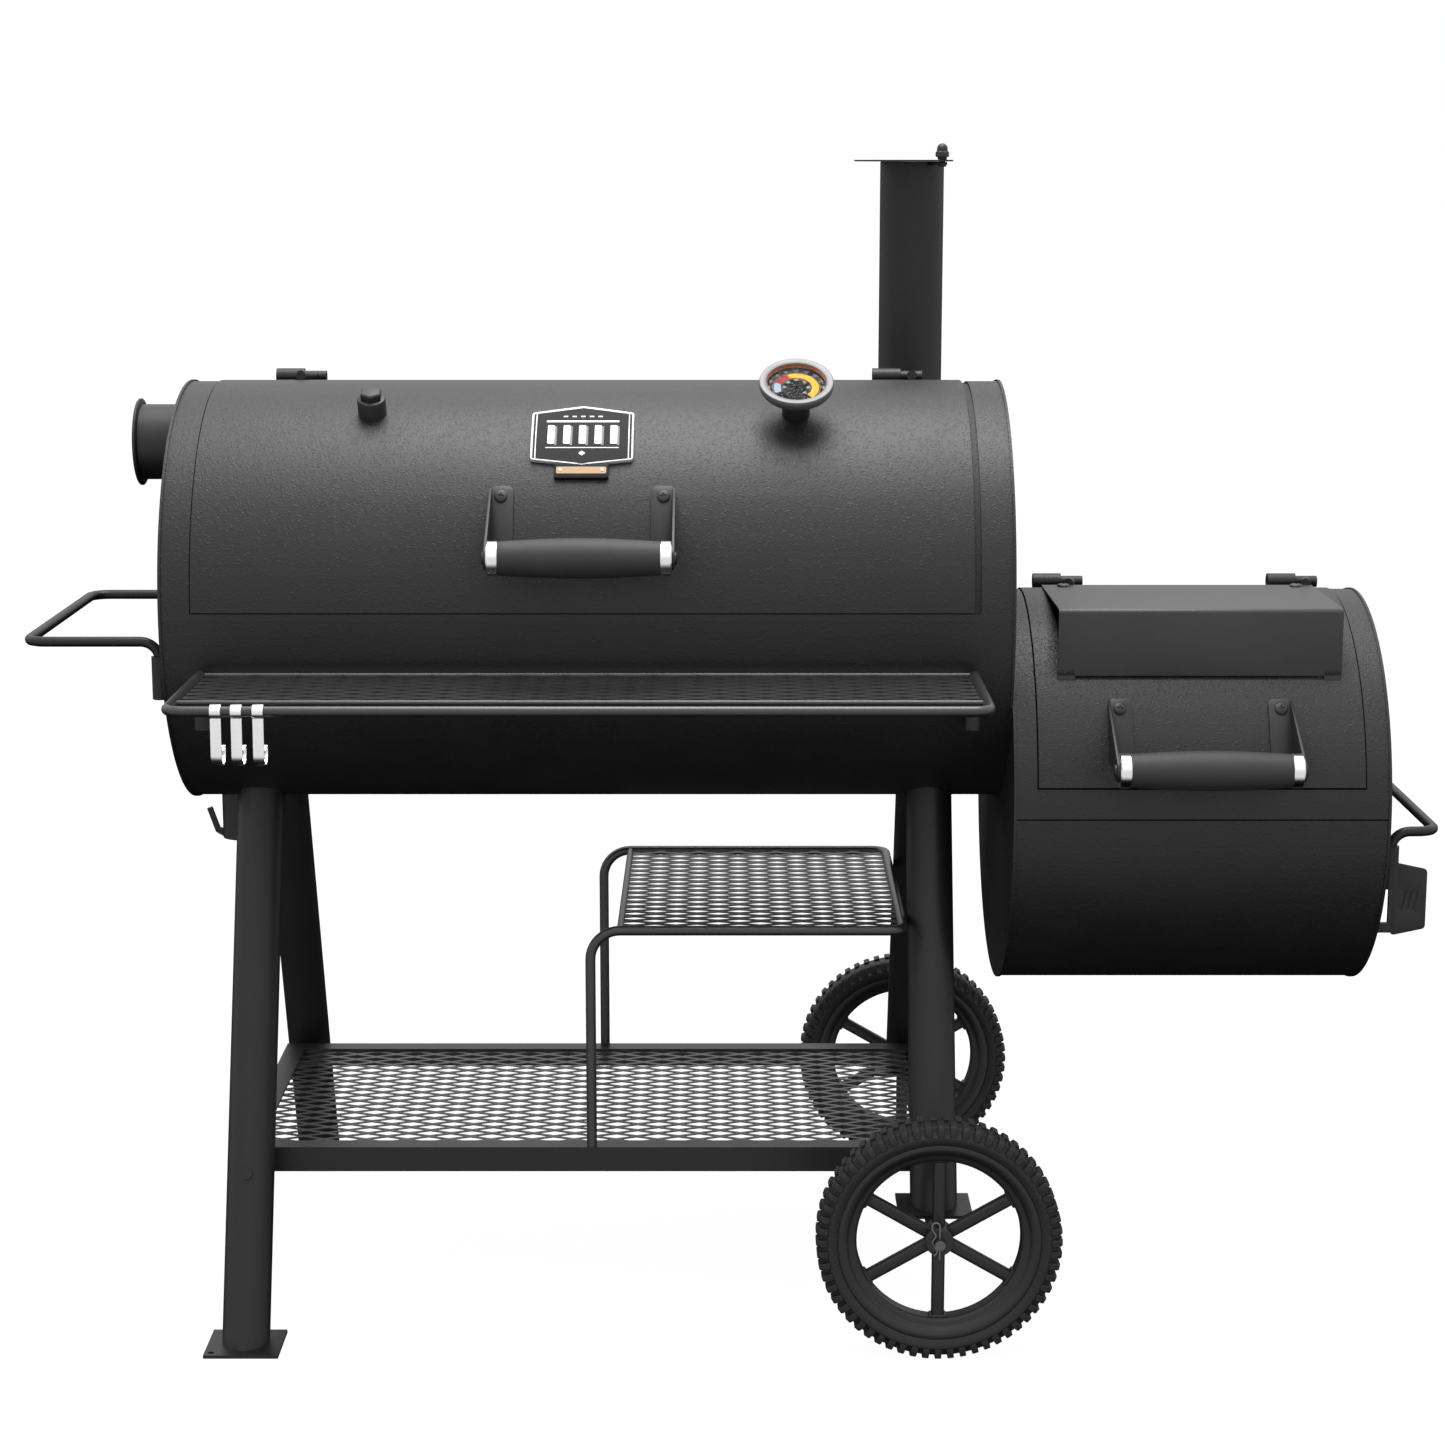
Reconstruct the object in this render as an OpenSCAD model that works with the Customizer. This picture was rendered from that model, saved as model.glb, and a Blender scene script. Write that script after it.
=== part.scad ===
// Offset barrel smoker and charcoal grill: cooking barrel, side firebox, chimney,
// shelves, splayed legs and two wheels. Millimetres, Z up, ground at Z = 0.
// Design axes: X along the barrel from its middle, Y to the back, barrel axis at Y = 0.

/* [Barrel] */
// Outer diameter of the cooking barrel
barrel_d = 500; // [490:2:504]
// Length of the cooking barrel over its end plates
barrel_l = 970; // [966:1:976]
// Height of the barrel's axis over the ground
barrel_z = 839; // [837:1:842]
// Thickness of the shells, lids and end plates
wall = 3; // [2:0.5:3]

/* [Firebox] */
// Outer diameter of the firebox
firebox_d = 470; // [464:2:472]
// Length of the firebox
firebox_l = 430; // [424:2:440]
// Height of the firebox's axis over the ground
firebox_z = 606; // [604:1:608]
// How far the firebox's axis sits in front of the barrel's
firebox_front = 33; // [30:1:36]

/* [Lids] */
// Angle of a lid's hinge axis, counted from the front over the top
hinge_angle = 106; // [105.5:0.5:107]
// Height of a hinge axis over the shell
hinge_out = 11; // [11:0.5:12]
// Distance between the two blades of a lid handle, middle to middle
handle_w = 208.5; // [206:0.5:212]

/* [Stand] */
// Outer diameter of a leg tube
leg_d = 55; // [50:1:58]
// Distance of a leg from the barrel's middle
leg_x = 400; // [396:1:402]
// Sideways lean of a leg
leg_lean = 20.95; // [20.5:0.05:21.5]
// Radius of a wheel over its tyre
wheel_r = 140.6; // [138:0.2:142]
// Distance of a wheel's middle from the barrel axis
wheel_y = 346; // [344:1:350]
// Diameter of the bent rods
rod_d = 12; // [11:0.5:12]

/* [Hidden] */
$fn = 64;

paint = "#2b2b2c";
bright = "silver";
barrel_r = barrel_d / 2;
barrel_half = barrel_l / 2;
firebox_r = firebox_d / 2;
firebox_y = -firebox_front;
firebox_x0 = barrel_half;
firebox_x1 = firebox_x0 + firebox_l;
slack = 0.05;                                // radial running clearance of pins
air = 0.3;                                   // gap between bodies that move apart
cut = 1;                                     // how far a cutter runs past a face

// lids: proud of the shell by lid_proud, in a window with a small gap all round
lid_proud = 1.5;
lid_gap = 1.6;
lid_low = 2;                                 // angle of the barrel lid's lower edge
lid_high = 101.5;                            // angle of both lids' rear edge
barrel_lid_x = [-448, 438];
barrel_window_x = [barrel_lid_x[0] - lid_gap, barrel_lid_x[1] + 8];
firebox_lid_x = [firebox_x0 + 28, firebox_x1 - 30];
firebox_lid_low = 10.4;
firebox_split = 1.4;                         // angle of the seam between the halves
hinge_pin_d = 8;
knuckle_d = 20;
knuckle_l = 34;
bush_d = 14;
bush_l = 26;
barrel_hinge_x = [-391, 336];
firebox_hinge_x = [firebox_x0 + 48, firebox_x0 + 335];
arm_offset = [36, 45];                       // front end of the hinge arms on the barrel
firebox_arm_offset = [38, 38];

barrel_lid_r = barrel_r + lid_proud;
firebox_lid_r = firebox_r + lid_proud;

// inside: rails, baffles and grates, below each axis
rail_z = -24;
baffle_z = -142;
baffle_w = 190;
baffle_half = 192;
grate_half = 226;
grate_n = 4;
grate_bars = 13;
charcoal_z = -112;
charcoal_n = 19;
charcoal_half = 194;

// lid handles, by angle on the shell
pad_low = 17.5;
pad_high = 35.6;
pad_w = 28;
screw_angles = [20, 32.5];
grip_angle = 14.5;
grip_out = 58;
tip_r = 13;                                  // round end of a blade
barrel_handle_x = -6;
firebox_handle_x = (firebox_lid_x[0] + firebox_lid_x[1]) / 2;

// gauge and plug on the barrel lid
gauge_x = 238;
plug_x = -253;
dial_angle = 62;
gauge_tilt = 4.7;                            // how far the gauge leans forward of the normal
gauge_out = 45.5;
gauge_hole = 18;
bezel_d = 86;
badge_x = -7;
badge_angles = [38, 64.6];
badge_half = 59.5;

// chimney
chimney_x = 397;
chimney_y = 315;
chimney_d = 82;
chimney_top = 1347;
elbow_z = 950;
elbow_r = 60;
pivot = [432, 266];
damper_r = 52;
damper_open = 44;                            // how far the damper stands open at rest
damper_reach = norm([chimney_x, chimney_y] - pivot);
damper_closed = atan2(chimney_y - pivot[1], chimney_x - pivot[0]);
nut_h = 8.5;

port_z = 1017;
port_d = 90;
port_l = 58;
drain_x = -437.5;
drain_d = 50;
drain_end = 530.5;

// bent rod pieces: handles, front shelf, upper shelf
sleeve_d = 20;
sleeve_l = 50;
handle_half = 185;
barrel_loop_z = 804;
firebox_loop_z = 587;
loop_foot = 12;                              // rod axis in front of an end plate
barrel_loop = 154;
firebox_loop = 53;
shelf_z = 778;
shelf_back = -250;
shelf_front = -480;
shelf_half = 437.5;
mesh_rods_y = [-430, -261];
hook_xs = [-383, -361, -338];
hook_w = 11.6;
hook_t = 1.6;
hook_drop = 60;
curl_r = 14;

// stand
leg_tan = tan(leg_lean);
leg_foot_y = 321.5;
screw_rise = 195;                            // distance of a shelf screw up the leg
axle_d = 12;
axle_half = 374;
plate_t = 4;
axle_plate_z = 151;
lower_z = 200;
lower_half_x = 423;
lower_half_y = 207;
angle_h = 30;
angle_w = 25;
mesh_t = 3;
upper_z = 464;
upper_x = [-2, 365];
upper_half = 202;
cross_x = 33;
cross_d = 8;
hub_d = 33;
rim_r = [92, 114];
tyre_w = 45;
spokes = 6;

// side door of the firebox
door_half = 150;
door_z = [firebox_z - 165, firebox_z - 35];
door_gap = 1;
door_hinge_y = firebox_y + 162;
door_hinge_x = firebox_x1 + 7;
vent_ys = [-60, -20, 20];
vent_d = 19;
shutter_z = firebox_z - 100;

// flat grab plate of the side door
handle_y = firebox_y - 127;
grab = [firebox_x1 + 26, firebox_x1 + loop_foot + firebox_loop + rod_d / 2];
grab_z = [firebox_z - 156, firebox_z - 78];

// outer box, which puts the origin under its middle
reach_left = barrel_half + loop_foot + barrel_loop + rod_d / 2;
reach_right = firebox_x1 + loop_foot + firebox_loop + rod_d / 2;
hook_r = rod_d / 2 + air + hook_t;
reach_front = -shelf_front + hook_r;
mid_x = (reach_right - reach_left) / 2;
mid_y = (axle_half - reach_front) / 2;

module in_frame() translate([-mid_x, -mid_y, 0]) children();
module on_barrel() in_frame() translate([0, 0, barrel_z]) children();
module on_firebox() in_frame() translate([0, firebox_y, firebox_z]) children();

// point in the Y-Z plane at an angle counted from the front over the top
function polar(r, a) = [-r * cos(a), r * sin(a)];
function heading(a) = [cos(a), sin(a)];

module rod_x(x0, x1, y, z, d) translate([x0, y, z]) rotate([0, 90, 0]) cylinder(d = d, h = x1 - x0);
module rod_y(y0, y1, x, z, d) translate([x, y0, z]) rotate([-90, 0, 0]) cylinder(d = d, h = y1 - y0);
module rod_z(z0, z1, x, y, d) translate([x, y, z0]) cylinder(d = d, h = z1 - z0);
module box_at(lo, hi) translate(lo) cube(hi - lo);

// part of a tube along X between two angles and two radii
module sector(x0, x1, r0, r1, a0, a1)
    translate([x1, 0, 0]) rotate([90, 0, -90]) rotate([0, 0, a0])
        rotate_extrude(angle = a1 - a0) translate([r0, 0]) square([r1 - r0, x1 - x0]);

// stands children on a shell, their Z along its normal
module on_shell(x, r, a) translate([x, 0, 0]) rotate([90 - a, 0, 0]) translate([0, 0, r]) children();

// flat link with two round ends
module link(p, r0, q, r1) {
    dir = atan2(q[1] - p[1], q[0] - p[0]);
    side = acos((r0 - r1) / norm(q - p));
    polygon([p + r0 * heading(dir + side), q + r1 * heading(dir + side),
        q + r1 * heading(dir - side), p + r0 * heading(dir - side)]);
    translate(p) circle(r0);
    translate(q) circle(r1);
}

module quarter(r, d) rotate_extrude(angle = 90) translate([r, 0]) circle(d = d);

// rod loop: two feet drop from X = 0, arms run along +X and a bar joins their ends
module bent_loop(half, reach, corner, bend, drop, d) {
    for (s = [-1, 1]) {
        rod_z(-drop, -bend, 0, s * half, d);
        translate([bend, s * half, -bend]) rotate([90, 0, 0]) rotate([0, 0, 90]) quarter(bend, d);
        rod_x(bend, reach - corner, s * half, 0, d);
        translate([reach - corner, s * (half - corner), 0]) rotate([0, 0, s > 0 ? 0 : -90])
            quarter(corner, d);
    }
    rod_y(-(half - corner), half - corner, reach, 0, d);
}

// plate with rows of diamond openings
module diamond_mesh(x0, x1, y0, y1, nx, ny, bar) {
    px = (x1 - x0) / nx;
    py = (y1 - y0) / ny;
    linear_extrude(mesh_t) difference() {
        translate([x0, y0]) square([x1 - x0, y1 - y0]);
        for (i = [0:nx - 1], j = [0:ny - 1]) translate([x0 + px * (i + 0.5), y0 + py * (j + 0.5)])
            polygon([[-px / 2 + bar, 0], [0, py / 2 - bar], [px / 2 - bar, 0], [0, -py / 2 + bar]]);
    }
}

// ---- cooking barrel ----

module barrel_shell() color(paint) on_barrel() difference() {
    sector(-barrel_half + wall, barrel_half - wall, barrel_r - wall, barrel_r, 0, 360);
    sector(barrel_window_x[0], barrel_window_x[1], barrel_r - 20, barrel_r + 20,
        lid_low - 0.4, lid_high + 0.4);
    rod_y(150, 300, chimney_x, elbow_z - barrel_z, chimney_d - 2 * wall);
    rod_z(-300, -150, drain_x, 0, drain_d - 2 * wall);
}

module throat(x0, x1) box_at([x0, -110, 640], [x1, 80, 790]);

module barrel_end_left() color(paint) on_barrel() difference() {
    rod_x(-barrel_half, -barrel_half + wall, 0, 0, barrel_d + 4);
    rod_x(-barrel_half - cut, -barrel_half + wall + cut, 0, port_z - barrel_z, port_d - 2 * wall);
}

module barrel_end_right() color(paint) in_frame() difference() {
    rod_x(barrel_half - wall, barrel_half, 0, barrel_z, barrel_d + 4);
    throat(barrel_half - wall - cut, barrel_half + cut);
}

// frame inside the shell that the lid closes on
module seal_strips() color(paint) on_barrel() difference() {
    r1 = barrel_r - wall;
    x0 = barrel_window_x[0];
    x1 = barrel_window_x[1];
    sector(x0 - 12, x1 + 12, r1 - 3, r1, lid_low - 5, lid_high + 6);
    sector(x0 + 12, x1 - 20, r1 - 9, r1 + 9, lid_low + 3, lid_high - 2);
}

module knuckle(r, x) {
    hub = polar(r + hinge_out, hinge_angle);
    difference() {
        union() {
            rod_x(x, x + knuckle_l, hub[0], hub[1], knuckle_d);
            on_shell(x + knuckle_l / 2, r - 1, hinge_angle)
                translate([-knuckle_l / 2 + 3, -6, 0]) cube([knuckle_l - 6, 12, 6]);
        }
        rod_x(x - cut, x + knuckle_l + cut, hub[0], hub[1], hinge_pin_d + 2 * slack);
        sector(x - cut, x + knuckle_l + cut, r - 20, r, 90, 120);
    }
}

module hinge_knuckles() color(paint) {
    for (x = barrel_hinge_x) on_barrel() knuckle(barrel_r, x);
    for (x = firebox_hinge_x) on_firebox() knuckle(firebox_r, x);
}

// angle bars inside the barrel that carry the grates and the baffles
module grate_rails() color(paint) on_barrel() for (z = [rail_z, baffle_z], s = [-1, 1])
    intersection() {
        y = sqrt(pow(barrel_r - wall, 2) - z * z);
        box_at([-barrel_half + 8, min(s * (y + 8), s * (y - 22)), z - 4],
            [barrel_half - 8, max(s * (y + 8), s * (y - 22)), z]);
        rod_x(-barrel_half, barrel_half, 0, 0, 2 * (barrel_r - wall));
    }

module baffle_plates() color("#232323") on_barrel() for (i = [0:3])
    box_at([-300 + i * baffle_w + 1, -baffle_half, baffle_z],
        [-301 + (i + 1) * baffle_w, baffle_half, baffle_z + 2.5]);

module cooking_grates() color("#1d1d1d") on_barrel() for (i = [0:grate_n - 1]) {
    w = (barrel_l - 24) / grate_n;
    x0 = -barrel_half + 12 + i * w;
    pitch = (w - 12) / (grate_bars - 1);
    translate([x0, 0, rail_z]) {
        for (k = [0:grate_bars - 1]) box_at([3 + k * pitch - 2, -grate_half, 0],
            [3 + k * pitch + 4, grate_half, 8]);
        for (y = [-grate_half, -60, 54, grate_half - 6]) box_at([1, y, 0], [w - 5, y + 6, 8]);
    }
}

module chimney_elbow() color(paint) in_frame() difference() {
    bend_y = chimney_y - elbow_r;
    union() {
        rod_y(180, bend_y, chimney_x, elbow_z, chimney_d);
        translate([chimney_x, bend_y, elbow_z + elbow_r]) rotate([0, 90, 0])
            quarter(elbow_r, chimney_d);
    }
    rod_y(150, bend_y, chimney_x, elbow_z, chimney_d - 2 * wall);
    translate([chimney_x, bend_y, elbow_z + elbow_r]) rotate([0, 90, 0])
        quarter(elbow_r, chimney_d - 2 * wall);
    rod_x(-barrel_half, barrel_half, 0, barrel_z, barrel_d);
}

module chimney_pipe() color(paint) in_frame() {
    difference() {
        rod_z(elbow_z + elbow_r, chimney_top, chimney_x, chimney_y, chimney_d);
        rod_z(elbow_z + elbow_r - cut, chimney_top + cut, chimney_x, chimney_y, chimney_d - 2 * wall);
    }
    difference() {
        translate([0, 0, chimney_top - 44]) linear_extrude(44)
            link([chimney_x, chimney_y], 3, pivot, 8);
        rod_z(chimney_top - 60, chimney_top + cut, chimney_x, chimney_y, chimney_d);
        rod_z(chimney_top - 60, chimney_top + cut, pivot[0], pivot[1], hinge_pin_d);
    }
}

module damper_bolt() color(paint) in_frame() translate([pivot[0], pivot[1], 0]) {
    rod_z(chimney_top - 44, chimney_top + 9, 0, 0, hinge_pin_d);
    rod_z(chimney_top - 49, chimney_top - 44, 0, 0, 15);
    rod_z(chimney_top + 4, chimney_top + 6, 0, 0, 13);
    translate([0, 0, chimney_top + 6]) cylinder(d = 15, h = nut_h - 1, $fn = 6);
    translate([0, 0, chimney_top + 5 + nut_h]) cylinder(d = 11, h = 4);
    translate([0, 0, chimney_top + 9 + nut_h]) intersection() {
        sphere(d = 11);
        cylinder(d = 20, h = 10);
    }
}

module chimney_damper() color(paint) in_frame() translate([pivot[0], pivot[1], chimney_top + air])
    rotate([0, 0, damper_closed + damper_open]) linear_extrude(2) difference() {
        link([damper_reach, 0], damper_r, [0, 0], 14);
        circle(d = hinge_pin_d + 2 * slack);
    }

module port_collar() color(paint) in_frame() difference() {
    rod_x(-barrel_half - port_l, -barrel_half, 0, port_z, port_d);
    rod_x(-barrel_half - port_l - cut, -barrel_half + cut, 0, port_z, port_d - 2 * wall);
}

// cap that slides into the collar and closes the unused flue port
module port_cap() color(paint) in_frame() difference() {
    x0 = -barrel_half - port_l - air;
    union() {
        rod_x(x0 - 4, x0, 0, port_z, port_d + 14);
        rod_x(x0 - 0.1, x0 + 30, 0, port_z, port_d - 2 * wall - 2);
    }
    rod_x(x0 - 1.5, x0 + 31, 0, port_z, port_d - 4 * wall - 2);
}

module drain_pipe() color(paint) in_frame() {
    difference() {
        rod_z(drain_end, barrel_z - 200, drain_x, 0, drain_d);
        rod_z(drain_end - cut, barrel_z, drain_x, 0, drain_d - 2 * wall);
        rod_x(-barrel_half, barrel_half, 0, barrel_z, barrel_d);
    }
    // hook for a drip bucket, welded to the pipe's side
    difference() {
        translate([drain_x - drain_d / 2 - 16, 3, drain_end]) rotate([90, 0, 0]) linear_extrude(6)
            polygon([[17, 0], [17, 10], [12, 11], [3, 37], [-3, 35], [7, 6]]);
        rod_z(drain_end - cut, barrel_z, drain_x, 0, drain_d);
    }
}

// ---- bent rods ----

module sleeve(pad) difference() {
    union() {
        rod_z(-sleeve_l, 0, 0, 0, sleeve_d);
        box_at([-pad, -7, -sleeve_l], [0, 7, 0]);
    }
    rod_z(-sleeve_l + 2, cut, 0, 0, rod_d + 0.2);
}

module rod_sleeves() color(paint) {
    drop = 17;
    for (s = [-1, 1]) {
        in_frame() translate([-barrel_half - loop_foot, s * handle_half, barrel_loop_z - drop])
            rotate([0, 0, 180]) sleeve(loop_foot);
        in_frame() translate([firebox_x1 + loop_foot, firebox_y + s * handle_half,
            firebox_loop_z - drop]) sleeve(loop_foot);
        difference() {
            in_frame() translate([s * shelf_half, shelf_back, shelf_z - 14])
                rotate([0, 0, -90]) sleeve(40);
            in_frame() rod_x(-barrel_half, barrel_half, 0, barrel_z, barrel_d);
        }
    }
}

module barrel_handle() color(paint) in_frame()
    translate([-barrel_half - loop_foot, 0, barrel_loop_z]) rotate([0, 0, 180])
        bent_loop(handle_half, barrel_loop, 26, 16, 60, rod_d);

module firebox_handle() color(paint) in_frame()
    translate([firebox_x1 + loop_foot, firebox_y, firebox_loop_z])
        bent_loop(handle_half, firebox_loop, 22, 16, 60, rod_d);

module front_shelf_frame() color(paint) in_frame() {
    translate([0, shelf_back, shelf_z]) rotate([0, 0, -90])
        bent_loop(shelf_half, shelf_back - shelf_front, 18, 13, 60, rod_d);
    for (y = mesh_rods_y) rod_x(-shelf_half, shelf_half, y, shelf_z, 6);
}

module front_shelf_mesh() color(paint) in_frame() translate([0, 0, shelf_z - mesh_t / 2])
    diamond_mesh(-shelf_half + rod_d / 2, shelf_half - rod_d / 2, mesh_rods_y[0] + 3,
        mesh_rods_y[1] - 3, 12, 3, 6);

// flat spring hook clipped round the shelf's front tube
module tool_hook(x) color(bright) in_frame() translate([x - hook_w / 2, shelf_front, shelf_z])
    rotate([90, 0, 90]) linear_extrude(hook_w) {
        difference() {
            circle(hook_r);
            circle(hook_r - hook_t);
            polygon([[0, 0], [30, -12], [30, 12]]);
        }
        translate([-3, -hook_drop + curl_r]) rotate(-3) translate([-hook_t, 0])
            square([hook_t, hook_drop - curl_r - 7.2]);
        translate([curl_r - 4.6, -hook_drop + curl_r]) difference() {
            circle(curl_r);
            circle(curl_r - hook_t);
            polygon([[0, 0], [-40, 0], [-40, 40], [40, 40], [40, 20]]);
        }
    }

module tool_hook_left() tool_hook(hook_xs[0]);
module tool_hook_middle() tool_hook(hook_xs[1]);
module tool_hook_right() tool_hook(hook_xs[2]);

// ---- stand ----

function leg_y(z) = leg_foot_y - z * leg_tan;

// leg tube on side s of the barrel, from height z0 up to the barrel
module leg(x, s, z0) color(paint) in_frame() difference() {
    translate([x, s * leg_foot_y, 0]) rotate([s * leg_lean, 0, 0]) difference() {
        translate([0, 0, -20]) cylinder(d = leg_d, h = 760);
        translate([0, 0, -21]) cylinder(d = leg_d - 2 * wall, h = 762);
        translate([0, 0, screw_rise]) rotate([90, 0, 0])
            cylinder(d = 6.6, h = 100, center = true);
    }
    box_at([x - 100, -600, -50], [x + 100, 600, z0]);
    rod_x(-barrel_half, barrel_half, 0, barrel_z, barrel_d);
}

module leg_front_left() leg(-leg_x, -1, plate_t);
module leg_rear_left() leg(-leg_x, 1, plate_t);
module leg_front_right() leg(leg_x, -1, axle_plate_z);
module leg_rear_right() leg(leg_x, 1, axle_plate_z);

// ground plates under the left legs, axle saddles under the right legs
module foot_plates() color(paint) in_frame() for (s = [-1, 1]) {
    difference() {
        box_at([-leg_x - 43, s * 325 - 38, 0], [-leg_x + 43, s * 325 + 38, plate_t]);
        rod_z(-cut, plate_t + cut, -leg_x - 35, s * 355, 7);
    }
    y = s * 267;
    difference() {
        union() {
            box_at([leg_x - 43, y - 38, axle_plate_z - plate_t], [leg_x + 43, y + 38, axle_plate_z]);
            box_at([leg_x - 10, y - 12.5, wheel_r - 10], [leg_x + 10, y + 12.5, axle_plate_z - plate_t]);
        }
        rod_y(y - 50, y + 50, leg_x, wheel_r, axle_d);
    }
}

// screws that hold the lower shelf between the legs
module leg_screws() color(paint) in_frame() for (x = [-leg_x, leg_x], s = [-1, 1])
    translate([x, s * leg_foot_y, 0]) rotate([s * leg_lean, 0, 0])
        translate([0, s * leg_d / 2, screw_rise]) rotate([-s * 90, 0, 0]) {
            translate([0, 0, -leg_d - 14]) cylinder(d = 6, h = leg_d + 14 + 1);
            cylinder(d = 13, h = 4);
            translate([0, 0, -leg_d - 6]) cylinder(d = 11, h = 5, $fn = 6);
        }

module lower_shelf_frame() color(paint) in_frame() difference() {
    box_at([-lower_half_x, -lower_half_y, lower_z - angle_h], [lower_half_x, lower_half_y, lower_z]);
    box_at([-lower_half_x + wall, -lower_half_y + wall, lower_z - angle_h - cut],
        [lower_half_x - wall, lower_half_y - wall, lower_z - wall]);
    box_at([-lower_half_x + angle_w, -lower_half_y + angle_w, lower_z - wall - cut],
        [lower_half_x - angle_w, lower_half_y - angle_w, lower_z + cut]);
    for (x = [-leg_x, leg_x]) rod_y(-300, 300, x, lower_z - 18, 16);
}

module lower_shelf_mesh() color(paint) in_frame()
    translate([0, 0, lower_z - wall - mesh_t])
        diamond_mesh(-lower_half_x + wall, lower_half_x - wall, -lower_half_y + wall,
            lower_half_y - wall, 12, 7, 6);

module upper_shelf_frame() color(paint) in_frame() {
    translate([upper_x[0], 0, upper_z])
        bent_loop(upper_half, upper_x[1] - upper_x[0], 18, 35, upper_z - lower_z, rod_d);
    rod_y(-upper_half, upper_half, cross_x, upper_z, cross_d);
}

// its outer corners are cut back for the bends of the frame
module upper_shelf_mesh() color(paint) in_frame() difference() {
    x1 = upper_x[1] - rod_d / 2;
    y1 = upper_half - rod_d / 2;
    translate([0, 0, upper_z - mesh_t / 2])
        diamond_mesh(cross_x + cross_d / 2, x1, -y1, y1, 5, 7, 5);
    for (s = [-1, 1]) translate([x1, s * y1, upper_z]) rotate([0, 0, 45])
        cube([12, 12, 9], center = true);
}

module axle() color("dimgray") in_frame() difference() {
    rod_y(-axle_half, axle_half, leg_x, wheel_r, axle_d);
    for (s = [-1, 1]) rod_z(wheel_r - 20, wheel_r + 20, leg_x, s * (axle_half - 7), 3);
}

// spring pins that hold the wheels on the axle
module hitch_pins() color(bright) in_frame() for (s = [-1, 1])
    translate([leg_x, s * (axle_half - 7), wheel_r]) {
        rod_z(-16, 20, 0, 0, 2.6);
        translate([4, 0, 22]) rotate([90, 0, 0]) rotate_extrude() translate([4, 0]) circle(d = 2.2);
    }

module wheel(s) color(paint) in_frame() translate([leg_x, s * wheel_y, wheel_r])
    rotate([90, 0, 0]) difference() {
        union() {
            cylinder(d = hub_d, h = 34, center = true);
            for (k = [0:spokes - 1]) rotate([0, 0, 30 + 60 * k])
                translate([10, -8, -6]) cube([rim_r[0] - 8, 16, 12]);
            rotate_extrude() translate([rim_r[0], -17]) square([rim_r[1] - rim_r[0] - 4, 34]);
        }
        cylinder(d = axle_d + 2 * slack, h = 100, center = true);
    }

module tyre(s) color("#181818") in_frame() translate([leg_x, s * wheel_y, wheel_r])
    rotate([90, 0, 0]) rotate_extrude(convexity = 4)
        polygon([[rim_r[1] - 4, -17], [rim_r[1] + 4, -20], [wheel_r - 8, -tyre_w / 2],
            [wheel_r - 1, -16], [wheel_r, -8], [wheel_r, 8], [wheel_r - 1, 16],
            [wheel_r - 8, tyre_w / 2], [rim_r[1] + 4, 20], [rim_r[1] - 4, 17]]);

module front_wheel() wheel(-1);
module front_tyre() tyre(-1);
module rear_wheel() wheel(1);
module rear_tyre() tyre(1);

// ---- firebox ----

// half of the shell, its two straight edges turned in as flanges
module firebox_half(a0, a1) color(paint) on_firebox() difference() {
    sector(firebox_x0 + wall, firebox_x1 - wall, firebox_r - 22, firebox_r, a0, a1);
    sector(firebox_x0, firebox_x1, firebox_r - 30, firebox_r - wall, a0 + 1.2, a1 - 1.2);
    sector(firebox_lid_x[0] - lid_gap, firebox_lid_x[1] + lid_gap, firebox_r - 12, firebox_r + 20,
        firebox_lid_low - 0.5, lid_high + 0.5);
}

module firebox_lower_half() firebox_half(firebox_split - 179.8, firebox_split - 0.2);
module firebox_upper_half() firebox_half(firebox_split + 0.2, firebox_split + 179.8);

module firebox_ends() color(paint) {
    in_frame() difference() {
        rod_x(firebox_x0, firebox_x0 + wall, firebox_y, firebox_z, firebox_d + 3);
        throat(firebox_x0 - cut, firebox_x0 + wall + cut);
    }
    in_frame() difference() {
        rod_x(firebox_x1 - wall, firebox_x1, firebox_y, firebox_z, firebox_d + 3);
        box_at([firebox_x1 - wall - cut, firebox_y - door_half + 12, door_z[0] + 12],
            [firebox_x1 + cut, firebox_y + door_half - 12, door_z[1] - 12]);
    }
    for (z = [door_z[0] + 30, door_z[1] - 30]) in_frame() difference() {
        union() {
            rod_z(z - 20, z - air, door_hinge_x, door_hinge_y, 12);
            box_at([firebox_x1, door_hinge_y - 3, z - 20], [door_hinge_x, door_hinge_y + 3, z - air]);
        }
        rod_z(z - 21, z + 1, door_hinge_x, door_hinge_y, 5 + 2 * slack);
    }
}

module charcoal_grate() color("#1d1d1d") on_firebox() {
    step = (firebox_l - 40) / (charcoal_n - 1);
    for (k = [0:charcoal_n - 1]) box_at([firebox_x0 + 18 + k * step, -charcoal_half, charcoal_z],
        [firebox_x0 + 24 + k * step, charcoal_half, charcoal_z + 8]);
    for (y = [-charcoal_half + 4, charcoal_half - 12]) box_at([firebox_x0 + wall, y, charcoal_z - 8],
        [firebox_x1 - wall, y + 8, charcoal_z]);
}

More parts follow.
